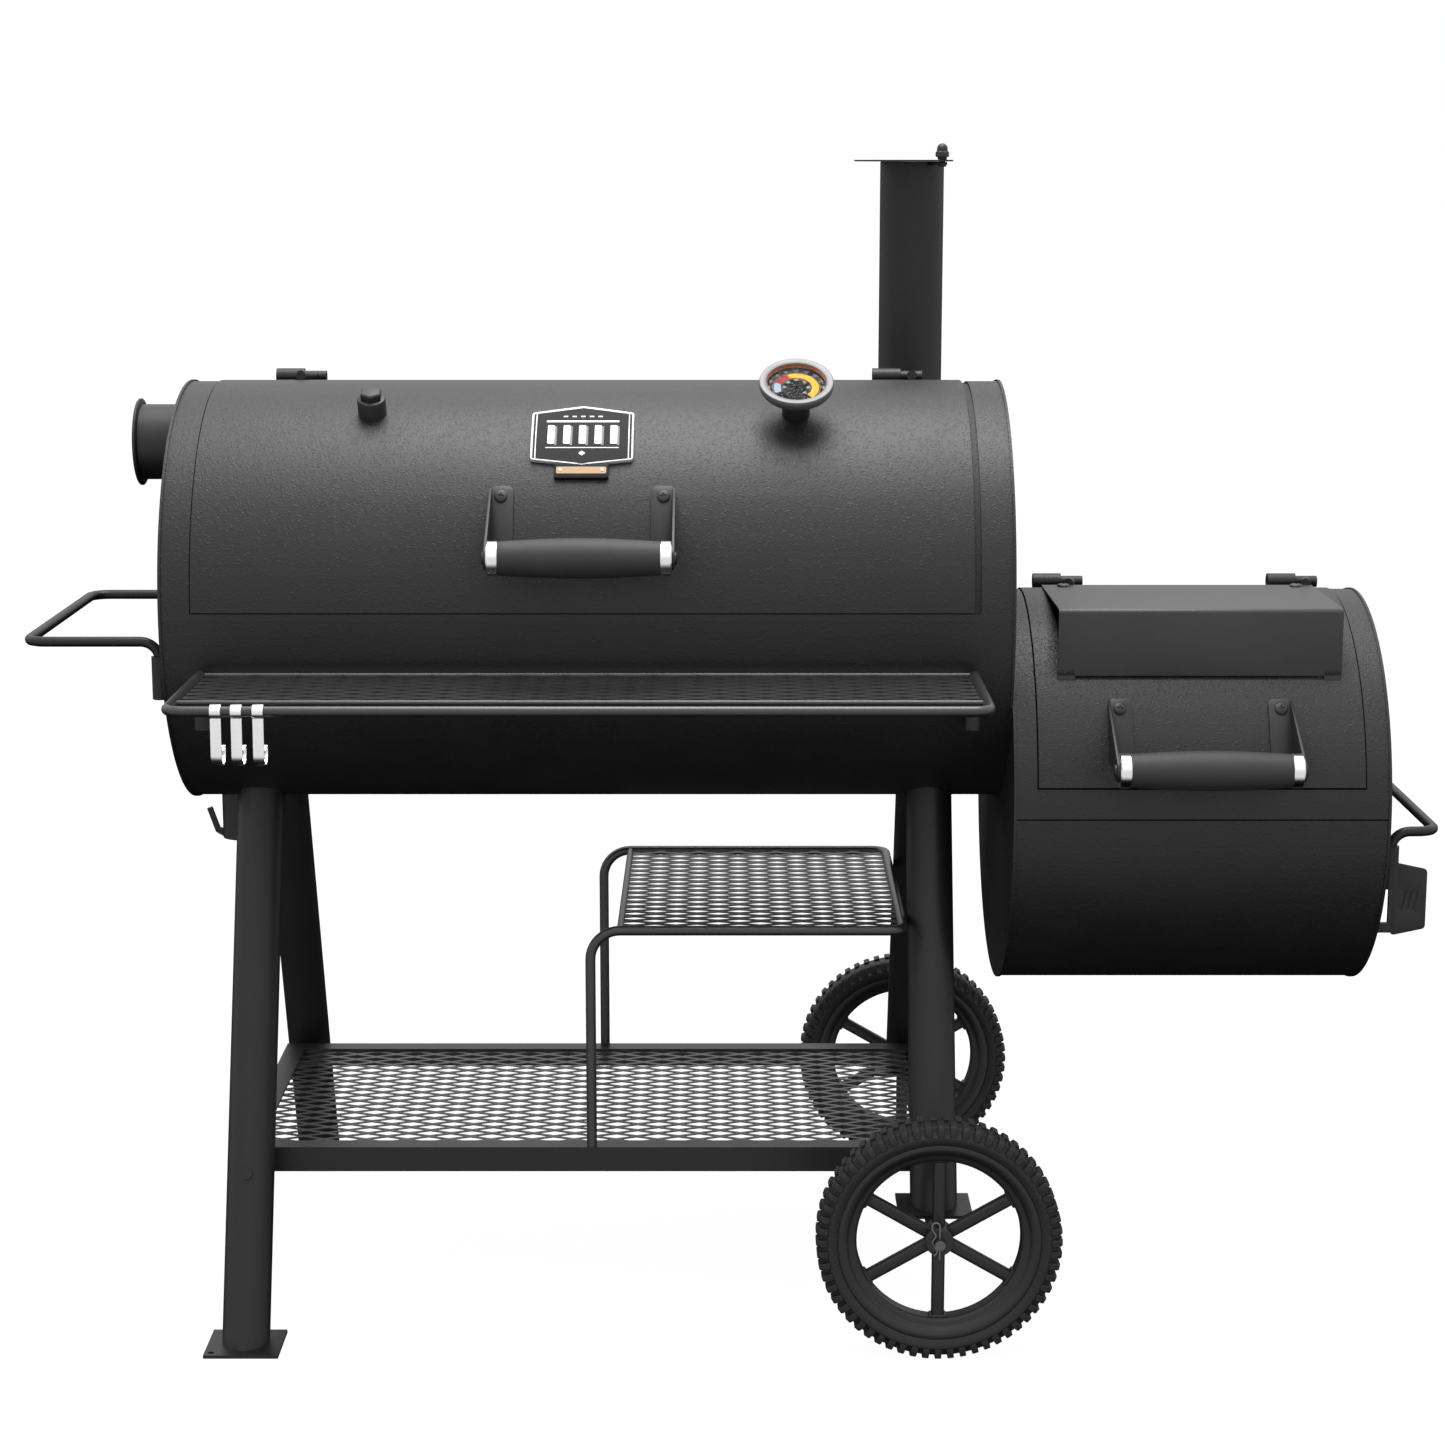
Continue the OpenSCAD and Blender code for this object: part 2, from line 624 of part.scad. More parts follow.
module side_door() color(paint) in_frame() {
    x0 = firebox_x1 + door_gap;
    y0 = firebox_y - door_half;
    y1 = door_hinge_y - 8;
    difference() {
        box_at([x0, y0, door_z[0]], [x0 + wall, y1, door_z[1]]);
        for (y = vent_ys) rod_x(x0 - cut, x0 + wall + cut, firebox_y + y, shutter_z, vent_d);
    }
    // guides of the air shutter
    for (z = [shutter_z - 26, shutter_z + 22]) {
        box_at([x0 + wall, firebox_y - 96, z], [x0 + wall + 2.5, firebox_y + 90, z + 4]);
        box_at([x0 + wall + 2.5, firebox_y - 96, z + (z > shutter_z ? -3 : 0)],
            [x0 + wall + 4, firebox_y + 90, z + (z > shutter_z ? 4 : 7)]);
    }
    // knuckles and pins
    for (z = [door_z[0] + 30, door_z[1] - 30]) {
        rod_z(z - 20, z + 20, door_hinge_x, door_hinge_y, 5);
        rod_z(z, z + 20, door_hinge_x, door_hinge_y, 12);
        box_at([x0, y1 - 1, z], [x0 + wall, door_hinge_y, z + 20]);
    }
}

// flat grab plate on a bent strap
module side_door_handle() color(paint) in_frame() {
    x0 = firebox_x1 + door_gap + wall;
    for (z = [grab_z[0], grab_z[1] - 12])
        box_at([x0, handle_y, z], [grab[0] + 4, handle_y + 6, z + 12]);
    box_at([grab[0], handle_y, grab_z[0] + 12], [grab[0] + 4, handle_y + 6, grab_z[1] - 12]);
    w = grab[1] - grab[0] - 4;
    translate([grab[0] + 4, handle_y + 4.5, firebox_z - 117]) rotate([90, 0, 0]) linear_extrude(3)
        polygon([[0, -43], [w - 6, -36], [w, -29], [w, 29], [w - 6, 36], [0, 43]]);
}

module air_shutter() color(paint) in_frame() {
    x0 = firebox_x1 + door_gap + wall + 0.4;
    difference() {
        box_at([x0, firebox_y - 92, shutter_z - 21.5], [x0 + 1.6, firebox_y + 36, shutter_z + 21.5]);
        for (y = vent_ys) rod_x(x0 - cut, x0 + 9, firebox_y + y - 20, shutter_z, vent_d);
    }
    rod_x(x0 + 1.6, x0 + 14, firebox_y + 28, shutter_z, 10);
}

// ---- lids ----

module lid_screw_holes(xm, r) for (s = [-1, 1], a = screw_angles)
    on_shell(xm + s * (handle_w / 2 - pad_w / 2 + 2), r - 30, a) cylinder(d = 6.6, h = 60);

// arms of a lid's hinges, each with its pin
module lid_hinges(r, xs, ends) for (i = [0:1]) {
    hub = polar(r + hinge_out, hinge_angle);
    x = xs[i];
    front = polar(r + lid_proud + rod_d / 2 - 0.6, 94.5);
    from = [x + knuckle_l + 0.5 + bush_l / 2, hub[0], hub[1]];
    to = [x + ends[i], front[0], front[1]];
    v = to - from;
    rod_x(x + knuckle_l + 0.5, x + knuckle_l + 0.5 + bush_l, hub[0], hub[1], bush_d);
    rod_x(x + 1, x + knuckle_l + 1, hub[0], hub[1], hinge_pin_d);
    difference() {
        translate(from) rotate([0, acos(v[2] / norm(v)), atan2(v[1], v[0])])
            cylinder(d = rod_d, h = norm(v));
        sector(x - 50, x + 150, r - 60, r + lid_proud, 60, lid_high);
        rod_x(x - 60, x + knuckle_l + 0.5, hub[0], hub[1], knuckle_d + 2 * air);
    }
}

// two curved feet, each with an upright blade that carries the grip
module lid_brackets(xm, r) {
    grip = polar(r + grip_out, grip_angle);
    low = pad_low + 0.5;
    high = pad_high - 0.5;
    top = polar(r + 3.5, high);
    side = atan2(top[1] - grip[1], top[0] - grip[0]) + acos(tip_r / norm(grip - top));
    x = handle_w / 2;
    for (s = [-1, 1]) translate([xm, 0, 0]) mirror([s < 0 ? 1 : 0, 0, 0])
        difference() {
            union() {
                sector(x + 1.5 - pad_w, x + 1.3, r - 4, r + 3, pad_low, pad_high);
                translate([x - 1.5, 0, 0]) rotate([90, 0, 90]) linear_extrude(3) {
                    translate(grip) circle(tip_r);
                    polygon(concat([top, grip + (tip_r - 0.5) * heading(side), grip,
                        grip + (tip_r - 0.5) * heading(-110)],
                        [for (k = [0:4]) polar(r - 2, low + (high - low) * k / 4)]));
                }
            }
            rod_x(x - 9, x + 9, grip[0], grip[1], hinge_pin_d);
            for (a = screw_angles) on_shell(x - pad_w / 2 + 2, r - 30, a) cylinder(d = 6, h = 60);
            sector(x - 60, x + 60, r - 20, r, pad_low - 9, pad_high + 9);
        }
}

// turned grip with ferrules on a through bolt, and the bracket screws
module lid_grip(xm, r) {
    grip = polar(r + grip_out, grip_angle);
    half = handle_w / 2 - 1.5;
    steps = 8;
    translate([xm, grip[0], grip[1]]) rotate([0, 90, 0]) rotate_extrude()
        polygon(concat([[4, -half], [19, -half], [19, -half + 12.5]],
            [for (k = [1:steps - 1]) [19 + 3.5 * sin(180 * k / steps),
                (half - 12.5) * (2 * k / steps - 1)]],
            [[19, half - 12.5], [19, half], [4, half]]));
    rod_x(xm - half - 6, xm + half + 6, grip[0], grip[1], hinge_pin_d);
    for (s = [-1, 1]) {
        translate([xm + s * (half + 3 + 2), grip[0], grip[1]]) rotate([0, 90, 0])
            cylinder(d = 15, h = 4, center = true);
        for (a = screw_angles) on_shell(xm + s * (handle_w / 2 - pad_w / 2 + 2), r, a) {
            translate([0, 0, -9]) cylinder(d = 6, h = 14);
            translate([0, 0, 3]) cylinder(d = 15, h = 3.5);
            translate([0, 0, -8]) cylinder(d = 11, h = 4.5, $fn = 6);
        }
    }
}

module barrel_lid_shell() color(paint) on_barrel() difference() {
    sector(barrel_lid_x[0], barrel_lid_x[1], barrel_lid_r - wall, barrel_lid_r, lid_low, lid_high);
    lid_screw_holes(barrel_handle_x, barrel_r);
    on_shell(plug_x, barrel_r - 20, dial_angle) cylinder(d = gauge_hole, h = 40);
    at_gauge() translate([0, 0, -20]) cylinder(d = gauge_hole, h = 40);
}

module barrel_lid_hinges() color(paint) on_barrel()
    lid_hinges(barrel_r, barrel_hinge_x, arm_offset);
module barrel_lid_brackets() color(paint) on_barrel() lid_brackets(barrel_handle_x, barrel_lid_r);
module barrel_lid_grip() color("#1b1b1b") on_barrel() lid_grip(barrel_handle_x, barrel_lid_r);

module badge_plate() color("#202020") on_barrel() intersection() {
    sector(badge_x - 80, badge_x + 80, barrel_lid_r, barrel_lid_r + 3, badge_angles[0], 68);
    on_shell(badge_x, 0, (badge_angles[0] + badge_angles[1]) / 2) {
        span = barrel_r * sin((badge_angles[1] - badge_angles[0]) / 2);
        linear_extrude(400) polygon([[-badge_half, -span + 26], [-31, -span + 17], [-31, -span],
            [31, -span], [31, -span + 17], [badge_half, -span + 26], [badge_half, span - 12],
            [0, span + 1], [-badge_half, span - 12]]);
    }
}

module probe_plug() color(paint) on_barrel() {
    difference() {
        on_shell(plug_x, barrel_lid_r, dial_angle) translate([0, 0, -0.6]) cylinder(d = 33, h = 22.6);
        rod_x(plug_x - 40, plug_x + 40, 0, 0, 2 * barrel_lid_r);
    }
    on_shell(plug_x, barrel_lid_r, dial_angle) {
        translate([0, 0, -20]) cylinder(d = 17.8, h = 20.5);
        translate([0, 0, 22]) rotate(30) cylinder(d = 26.6, h = 9, $fn = 6);
    }
}

// the gauge stands on the lid beside the badge and leans a little to the front
module at_gauge() on_shell(gauge_x, barrel_lid_r, dial_angle) rotate([gauge_tilt, 0, 0]) children();

module gauge_case() color("#9a9a9c") on_barrel() {
    difference() {
        at_gauge() translate([0, 0, -2.5]) cylinder(d = 32, h = gauge_out - 10);
        rod_x(gauge_x - 40, gauge_x + 40, 0, 0, 2 * barrel_lid_r);
    }
    at_gauge() {
        translate([0, 0, -60]) cylinder(d = 8, h = 61);
        translate([0, 0, -12]) cylinder(d = 17.8, h = 12.5);
        difference() {
            translate([0, 0, gauge_out - 13]) cylinder(d = bezel_d, h = 13);
            translate([0, 0, gauge_out - 9]) cylinder(d = 70, h = 20);
        }
    }
}

module gauge_lens() color([0.9, 0.9, 0.95, 0.4]) on_barrel()
    at_gauge() translate([0, 0, gauge_out - 3.5]) cylinder(d = 70, h = 2);

module gauge_needle() color("#151515") on_barrel()
    at_gauge() translate([0, 0, gauge_out - 8]) rotate([0, 0, 225]) {
        cylinder(d = 8, h = 2.5);
        translate([-8, -0.8, 0.8]) cube([33, 1.6, 0.8]);
    }

module firebox_lid_shell() color(paint) on_firebox() difference() {
    sector(firebox_lid_x[0], firebox_lid_x[1], firebox_lid_r - wall, firebox_lid_r,
        firebox_lid_low, lid_high);
    lid_screw_holes(firebox_handle_x, firebox_r);
}

module firebox_lid_hinges() color(paint) on_firebox()
    lid_hinges(firebox_r, firebox_hinge_x, firebox_arm_offset);
module firebox_lid_brackets() color(paint) on_firebox() lid_brackets(firebox_handle_x, firebox_lid_r);
module firebox_lid_grip() color("#1b1b1b") on_firebox() lid_grip(firebox_handle_x, firebox_lid_r);

// bent sheet shelf on the firebox lid, with its screws
module warming_plate() color(paint) in_frame() {
    x0 = firebox_x0 + 53;
    x1 = firebox_x1 - 51;
    top = 846;
    y0 = -210;
    box_at([x0, y0, top - 2.5], [x1, -18, top]);
    box_at([x0, y0, top - 78], [x1, y0 + 2.5, top - 2.5]);
    difference() {
        for (x = [x0, x1 - 20]) box_at([x, y0, top - 90], [x + 20, y0 + 2.5, top - 78]);
        rod_x(x0 - 10, x1 + 10, firebox_y, firebox_z, 2 * firebox_lid_r);
    }
    for (x = [x0 + 25, x1 - 21]) rod_z(top, top + 3.5, x, -30, 14);
}

barrel_shell();
barrel_end_left();
barrel_end_right();
seal_strips();
hinge_knuckles();
grate_rails();
baffle_plates();
cooking_grates();
chimney_elbow();
chimney_pipe();
damper_bolt();
chimney_damper();
port_collar();
port_cap();
drain_pipe();
rod_sleeves();
barrel_handle();
firebox_handle();
front_shelf_frame();
front_shelf_mesh();
tool_hook_left();
tool_hook_middle();
tool_hook_right();
leg_front_left();
leg_rear_left();
leg_front_right();
leg_rear_right();
foot_plates();
leg_screws();
lower_shelf_frame();
lower_shelf_mesh();
upper_shelf_frame();
upper_shelf_mesh();
axle();
hitch_pins();
front_wheel();
front_tyre();
rear_wheel();
rear_tyre();
firebox_lower_half();
firebox_upper_half();
firebox_ends();
charcoal_grate();
side_door();
side_door_handle();
air_shutter();
barrel_lid_shell();
barrel_lid_hinges();
barrel_lid_brackets();
barrel_lid_grip();
badge_plate();
probe_plug();
gauge_case();
gauge_lens();
gauge_needle();
firebox_lid_shell();
firebox_lid_hinges();
firebox_lid_brackets();
firebox_lid_grip();
warming_plate();
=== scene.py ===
import math

import bmesh
import bpy
from mathutils import Matrix, Vector


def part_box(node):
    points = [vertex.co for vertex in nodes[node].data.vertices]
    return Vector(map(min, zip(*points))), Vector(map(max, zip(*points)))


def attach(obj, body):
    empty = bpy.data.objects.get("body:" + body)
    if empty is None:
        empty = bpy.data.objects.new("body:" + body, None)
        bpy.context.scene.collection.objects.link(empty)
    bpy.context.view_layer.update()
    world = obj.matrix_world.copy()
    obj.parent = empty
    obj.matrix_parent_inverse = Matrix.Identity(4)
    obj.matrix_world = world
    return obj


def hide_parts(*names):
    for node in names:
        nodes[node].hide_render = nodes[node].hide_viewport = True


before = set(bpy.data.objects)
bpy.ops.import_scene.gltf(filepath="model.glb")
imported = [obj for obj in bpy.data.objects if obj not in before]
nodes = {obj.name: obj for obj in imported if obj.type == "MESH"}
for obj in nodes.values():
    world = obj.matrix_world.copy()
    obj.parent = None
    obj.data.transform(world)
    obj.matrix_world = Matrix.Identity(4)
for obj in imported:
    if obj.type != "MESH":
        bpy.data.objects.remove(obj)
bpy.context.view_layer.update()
mm = 0.001
print("frame loaded:", len(nodes), "nodes")


# small helpers for working by operator

def deselectAll():
    if bpy.context.object and bpy.context.object.mode != "OBJECT":
        bpy.ops.object.mode_set(mode="OBJECT")
    bpy.ops.object.select_all(action="DESELECT")


def choose(piece):
    deselectAll()
    piece.select_set(True)
    bpy.context.view_layer.objects.active = piece


def selectAll():
    bpy.ops.mesh.select_all(action="SELECT")


def edit(piece):
    choose(piece)
    bpy.ops.object.mode_set(mode="EDIT")
    bpy.ops.mesh.select_mode(type="VERT")
    selectAll()


def stopEdit():
    bpy.ops.object.mode_set(mode="OBJECT")


# selects the faces that pass a test
def pick(test):
    bpy.ops.mesh.select_mode(type="FACE")
    bpy.ops.mesh.select_all(action="DESELECT")
    mesh = bmesh.from_edit_mesh(bpy.context.object.data)
    for face in mesh.faces:
        if test(face):
            face.select_set(True)
    mesh.select_flush(True)
    bmesh.update_edit_mesh(bpy.context.object.data)


def tidyNormals():
    selectAll()
    bpy.ops.mesh.remove_doubles(threshold=0.00002)
    bpy.ops.mesh.normals_make_consistent(inside=False)


# moves, turns and scales a piece and leaves its object at the origin
def settle(piece, place=(0, 0, 0), turn=(0, 0, 0), scale=(1, 1, 1)):
    choose(piece)
    bpy.ops.object.transform_apply(location=True, rotation=True, scale=True)
    piece.scale = scale
    piece.rotation_euler = turn
    piece.location = place
    bpy.ops.object.transform_apply(location=True, rotation=True, scale=True)
    return piece


def stand(piece, matrix):
    choose(piece)
    piece.matrix_world = matrix
    bpy.ops.object.transform_apply(location=True, rotation=True, scale=True)
    return piece


def useModifier(piece, kind, **settings):
    choose(piece)
    modifier = piece.modifiers.new(kind.lower(), kind)
    for key, value in settings.items():
        setattr(modifier, key, value)
    bpy.ops.object.modifier_apply(modifier=modifier.name)


def roundEdges(piece, width, segments=2, angle=35):
    useModifier(piece, "BEVEL", width=width, segments=segments, limit_method="ANGLE",
                angle_limit=math.radians(angle), use_clamp_overlap=True)


def smooth(piece, angle=40):
    choose(piece)
    bpy.ops.object.shade_smooth_by_angle(angle=math.radians(angle))


def copyOf(piece, name):
    twin = piece.copy()
    twin.data = piece.data.copy()
    twin.name = name
    bpy.context.scene.collection.objects.link(twin)
    return twin


def joinPieces(pieces, name):
    deselectAll()
    for piece in pieces:
        piece.select_set(True)
    bpy.context.view_layer.objects.active = pieces[0]
    if len(pieces) > 1:
        bpy.ops.object.join()
    pieces[0].name = name
    return pieces[0]


# a single vertex to extrude from
def startPoint(name, point):
    deselectAll()
    bpy.ops.mesh.primitive_plane_add(size=0.01, location=(0, 0, 0))
    piece = bpy.context.object
    piece.name = name
    edit(piece)
    bpy.ops.mesh.merge(type="CENTER")
    bpy.ops.transform.translate(value=point)
    return piece


def drawLine(points):
    for before, after in zip(points, points[1:]):
        step = Vector(after) - Vector(before)
        bpy.ops.mesh.extrude_region_move(TRANSFORM_OT_translate={"value": step})


# turns an outline of (radius, height) pairs about Z
def lathe(name, outline, steps=64, sweep=360, closed=False):
    points = [(r, 0, z) for r, z in outline]
    piece = startPoint(name, points[0])
    drawLine(points + points[:1] if closed else points)
    selectAll()
    bpy.ops.mesh.spin(steps=steps, angle=math.radians(sweep), center=(0, 0, 0), axis=(0, 0, 1))
    tidyNormals()
    stopEdit()
    return piece


# a flat outline in XY, filled and pulled up along Z
def plate(name, outline, thickness):
    points = [(x, y, 0) for x, y in outline]
    piece = startPoint(name, points[0])
    drawLine(points + points[:1])
    selectAll()
    bpy.ops.mesh.remove_doubles(threshold=0.00001)
    selectAll()
    bpy.ops.mesh.edge_face_add()
    selectAll()
    bpy.ops.mesh.extrude_region_move(TRANSFORM_OT_translate={"value": (0, 0, thickness)})
    tidyNormals()
    stopEdit()
    return piece


def arc(centre, radius, start, end, steps):
    turns = [math.radians(start + (end - start) * k / steps) for k in range(steps + 1)]
    return [(centre[0] + radius * math.cos(t), centre[1] + radius * math.sin(t)) for t in turns]


# a rectangle's corners
def oblong(x0, y0, x1, y1):
    return [(x0, y0), (x1, y0), (x1, y1), (x0, y1)]


# an outline given in millimetres
def inMm(outline):
    return [(a * mm, b * mm) for a, b in outline]


def middle(node):
    low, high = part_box(node)
    return (low + high) / 2


def sizeOf(node):
    low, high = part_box(node)
    return high - low


# materials

class Wire:
    # a shader socket that can stand in a sum
    def __init__(self, tree, socket):
        self.tree = tree
        self.socket = socket

    def node(self, kind, settings, sockets, out=0):
        made = self.tree.nodes.new("ShaderNode" + kind)
        for key, value in settings.items():
            setattr(made, key, value)
        for key, value in sockets.items():
            if isinstance(value, Wire):
                self.tree.links.new(value.socket, made.inputs[key])
            else:
                made.inputs[key].default_value = value
        return Wire(self.tree, made.outputs[out])

    def sum(self, operation, *values):
        return self.node("Math", {"operation": operation}, dict(enumerate(values)))

    def __add__(self, other):
        return self.sum("ADD", self, other)

    def __sub__(self, other):
        return self.sum("SUBTRACT", self, other)

    def __mul__(self, other):
        return self.sum("MULTIPLY", self, other)

    def between(self, low, high):
        # a soft step from 0 at low to 1 at high
        return self.node("MapRange", {"interpolation_type": "SMOOTHSTEP"},
                         {"Value": self, "From Min": low, "From Max": high})

    def tint(self, first, second):
        # first colour where this is 0, second where it is 1
        values = [v if isinstance(v, Wire) else (*v, 1) for v in (first, second)]
        return self.node("Mix", {"data_type": "RGBA"}, {0: self, 6: values[0], 7: values[1]}, 2)


class Finish:
    def __init__(self, name, **fixed):
        self.material = bpy.data.materials.new(name)
        self.material.use_nodes = True
        self.tree = self.material.node_tree
        self.shader = self.tree.nodes["Principled BSDF"]
        for key, value in fixed.items():
            self.shader.inputs[key.replace("_", " ")].default_value = value
        start = self.tree.nodes.new("ShaderNodeTexCoord")
        self.place = Wire(self.tree, start.outputs["Object"])

    def noise(self, scale, detail=2, roughness=0.5, vector=None, distortion=0):
        return self.place.node("TexNoise", {}, {"Vector": vector or self.place, "Scale": scale,
                                                "Detail": detail, "Roughness": roughness,
                                                "Distortion": distortion})

    def feed(self, socket, wire):
        self.tree.links.new(wire.socket, self.shader.inputs[socket])

    def bump(self, height, distance, strength=1.0):
        self.feed("Normal", height.node("Bump", {}, {"Height": height, "Distance": distance,
                                                     "Strength": strength}))


# sprayed high-heat enamel: orange peel, a few thicker flecks, slight cloudiness
def makePaint(name, colour, gloss, peel, peelSize, fleck, shine=0.40):
    finish = Finish(name, Metallic=0.0, Specular_IOR_Level=shine)
    cloud = finish.noise(9, 3, 0.6)
    fine = finish.noise(1 / (peelSize * 0.35), 2, 0.6)
    waves = finish.noise(1 / peelSize, 2, 0.55, distortion=0.6)
    flecks = finish.noise(1 / (peelSize * 1.5), 1, 0.5, distortion=1.2).between(0.56, 0.70)
    lighter = tuple(c * 1.22 for c in colour)
    darker = tuple(c * 0.84 for c in colour)
    finish.feed("Base Color", (cloud * 0.7 + fine * 0.3).between(0.3, 0.7).tint(darker, lighter))
    finish.feed("Roughness", (cloud * 0.5 + waves * 0.5) * 0.16 + (gloss - 0.08))
    finish.bump(waves * 0.5 + fine * 0.22 + flecks * fleck, peel)
    return finish.material


paints = {
    "shell": dict(colour=(0.008, 0.008, 0.0085), gloss=0.46, peel=0.0007, peelSize=0.0030, fleck=0.3),
    "frame": dict(colour=(0.007, 0.007, 0.0075), gloss=0.40, peel=0.0003, peelSize=0.0018, fleck=0.2,
                  shine=0.34),
    "mesh": dict(colour=(0.010, 0.010, 0.0105), gloss=0.36, peel=0.0002, peelSize=0.0018, fleck=0.1,
                 shine=0.5),
    # rod: the frame's enamel with a lighter colour, a painted highlight on the shelf tubes
    "rod": dict(colour=(0.013, 0.013, 0.0135), gloss=0.34, peel=0.0002, peelSize=0.0018, fleck=0.1,
                shine=0.65),
    "inside": dict(colour=(0.008, 0.008, 0.008), gloss=0.60, peel=0.0006, peelSize=0.0030, fleck=0.3),
    # plate: the shell's enamel with a lighter colour, a painted highlight for the warming plate's lit top
    "plate": dict(colour=(0.018, 0.018, 0.0185), gloss=0.42, peel=0.00035, peelSize=0.0014, fleck=0.05,
                  shine=0.5),
    "part": dict(colour=(0.011, 0.011, 0.0115), gloss=0.45, peel=0.0002, peelSize=0.0016, fleck=0.1),
    "wheel": dict(colour=(0.010, 0.010, 0.0105), gloss=0.42, peel=0.0003, peelSize=0.0020, fleck=0.2,
                  shine=0.36),
}
shellPaint = makePaint("shell paint", **paints["shell"])
framePaint = makePaint("frame paint", **paints["frame"])
insidePaint = makePaint("inside paint", **paints["inside"])
wheelPaint = makePaint("wheel paint", **paints["wheel"])
smoothPaint = makePaint("small part paint", **paints["part"])
stemPaint = makePaint("stem paint", **dict(paints["part"], colour=(0.006, 0.006, 0.006)))
# the shelf rods' lighter colour is a painted highlight, not a different paint
rodPaintLightenedAsPaintedHighlight = makePaint("rod paint lightened as painted highlight", **paints["rod"])
meshPaint = makePaint("mesh paint", **paints["mesh"])
# the warming plate's lighter colour is a painted highlight, not a different paint
platePaintLightenedAsPaintedHighlight = makePaint("plate paint lightened as painted highlight", **paints["plate"])


# metal with fine drawn lines along one axis
def makeMetal(name, colour, gloss, lines=(60, 900, 900), marks=0.0001):
    finish = Finish(name, Metallic=1.0)
    drawn = finish.place.node("Mapping", {}, {"Vector": finish.place, "Scale": lines})
    streak = finish.noise(1, 3, 0.6, vector=drawn)
    smudge = finish.noise(40, 2, 0.5)
    finish.feed("Base Color", streak.tint(tuple(c * 0.88 for c in colour), colour))
    finish.feed("Roughness", streak * 0.10 + smudge * 0.08 + (gloss - 0.09))
    finish.bump(streak, marks, 0.5)
    return finish.material


chrome = makeMetal("polished steel", (0.86, 0.86, 0.85), 0.20)
hookChrome = makeMetal("hook steel", (0.90, 0.90, 0.90), 0.28, (60, 400, 400), 0.00002)
bezelSteel = makeMetal("bezel steel", (0.20, 0.20, 0.20), 0.60, (500, 500, 500), 0.00004)
axleSteel = makeMetal("zinc steel", (0.14, 0.14, 0.14), 0.46, (500, 60, 500))


def makeCastIron():
    finish = Finish("cast iron", Metallic=0.0, Specular_IOR_Level=0.4)
    pores = finish.noise(520, 3, 0.65)
    cloud = finish.noise(14, 3, 0.6)
    finish.feed("Base Color", cloud.between(0.3, 0.7).tint((0.014, 0.013, 0.013), (0.028, 0.026, 0.025)))
    finish.feed("Roughness", pores * 0.2 + 0.5)
    finish.bump(pores, 0.0006)
    return finish.material


def makeRubber(name, colour, gloss, size, depth):
    finish = Finish(name, Metallic=0.0, Specular_IOR_Level=0.35)
    grain = finish.noise(1 / size, 3, 0.65)
    cloud = finish.noise(25, 2, 0.5)
    finish.feed("Base Color", cloud.tint(tuple(c * 0.8 for c in colour), tuple(c * 1.2 for c in colour)))
    finish.feed("Roughness", grain * 0.2 + (gloss - 0.1))
    finish.bump(grain, depth)
    return finish.material


castIron = makeCastIron()
tyreRubber = makeRubber("tyre rubber", (0.011, 0.011, 0.011), 0.62, 0.0030, 0.0009)
gripBlack = makeRubber("grip black", (0.024, 0.024, 0.024), 0.58, 0.0012, 0.0003)


def finishPiece(piece, body, material, stands=(), angle=40):
    smooth(piece, angle)
    piece.data.materials.clear()
    piece.data.materials.append(material)
    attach(piece, body)
    if stands:
        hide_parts(*stands)
    return piece


# CAD nodes that show as they are get a finish
shellNodes = ["barrel_shell", "barrel_end_left", "barrel_end_right", "firebox_lower_half", "firebox_upper_half",
              "firebox_ends", "barrel_lid_shell", "firebox_lid_shell", "side_door", "air_shutter"]
insideNodes = ["grate_rails", "baffle_plates", "seal_strips"]
ironNodes = ["cooking_grates", "charcoal_grate"]


def dressNodes():
    for name, node in nodes.items():
        if name in shellNodes:
            material = shellPaint
        elif name in insideNodes:
            material = insidePaint
        elif name in ironNodes:
            material = castIron
        elif name == "axle":
            material = axleSteel
        else:
            material = framePaint
        node.data.materials.clear()
        node.data.materials.append(material)


dressNodes()
print("finishes made")


# where things are, from the frame
barrelAxis = middle("barrel_end_left")
fireAxis = middle("firebox_ends")
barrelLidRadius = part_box("barrel_lid_shell")[1].z - barrelAxis.z
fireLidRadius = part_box("firebox_lid_shell")[1].z - fireAxis.z


# a matrix that stands a piece on a shell, its Z along the normal
def onShell(axis, x, radius, angle):
    turn = Matrix.Rotation(math.radians(90 - angle), 4, "X")
    return Matrix.Translation((x, axis.y, axis.z)) @ turn @ Matrix.Translation((0, 0, radius))


# lays a flat piece round a shell: its Y runs up the shell and its Z points out
def layOnShell(piece, axis, x, radius, angle):
    for vertex in piece.data.vertices:
        at = math.radians(angle) + vertex.co.y / radius
        out = radius + vertex.co.z
        vertex.co = (x + vertex.co.x, axis.y - out * math.cos(at), axis.z + out * math.sin(at))
    piece.data.update()
    return piece


# cuts lines across a flat piece, so that it can follow a shell
def sliceUp(piece, step=4 * mm):
    ends = [v.co.y for v in piece.data.vertices]
    count = int((max(ends) - min(ends)) / step)
    edit(piece)
    for k in range(1, count + 1):
        selectAll()
        at = min(ends) + (max(ends) - min(ends)) * k / (count + 1)
        bpy.ops.mesh.bisect(plane_co=(0, at, 0), plane_no=(0, 1, 0))
    stopEdit()


def point(radius, angle):
    turn = math.radians(angle)
    return (-radius * math.cos(turn), radius * math.sin(turn))


# a path with its corners rounded to arcs
def roundPath(points, radius, steps=8):
    points = [Vector(p) for p in points]
    path = [points[0]]
    for before, here, after in zip(points, points[1:], points[2:]):
        back = (before - here).normalized()
        on = (after - here).normalized()
        half = back.angle(on) / 2
        reach = radius / math.tan(half)
        centre = here + (back + on).normalized() * (radius / math.sin(half))
        first = here + back * reach - centre
        last = here + on * reach - centre
        for k in range(steps + 1):
            path.append(centre + first.slerp(last, k / steps).normalized() * radius)
    return path + [points[-1]]


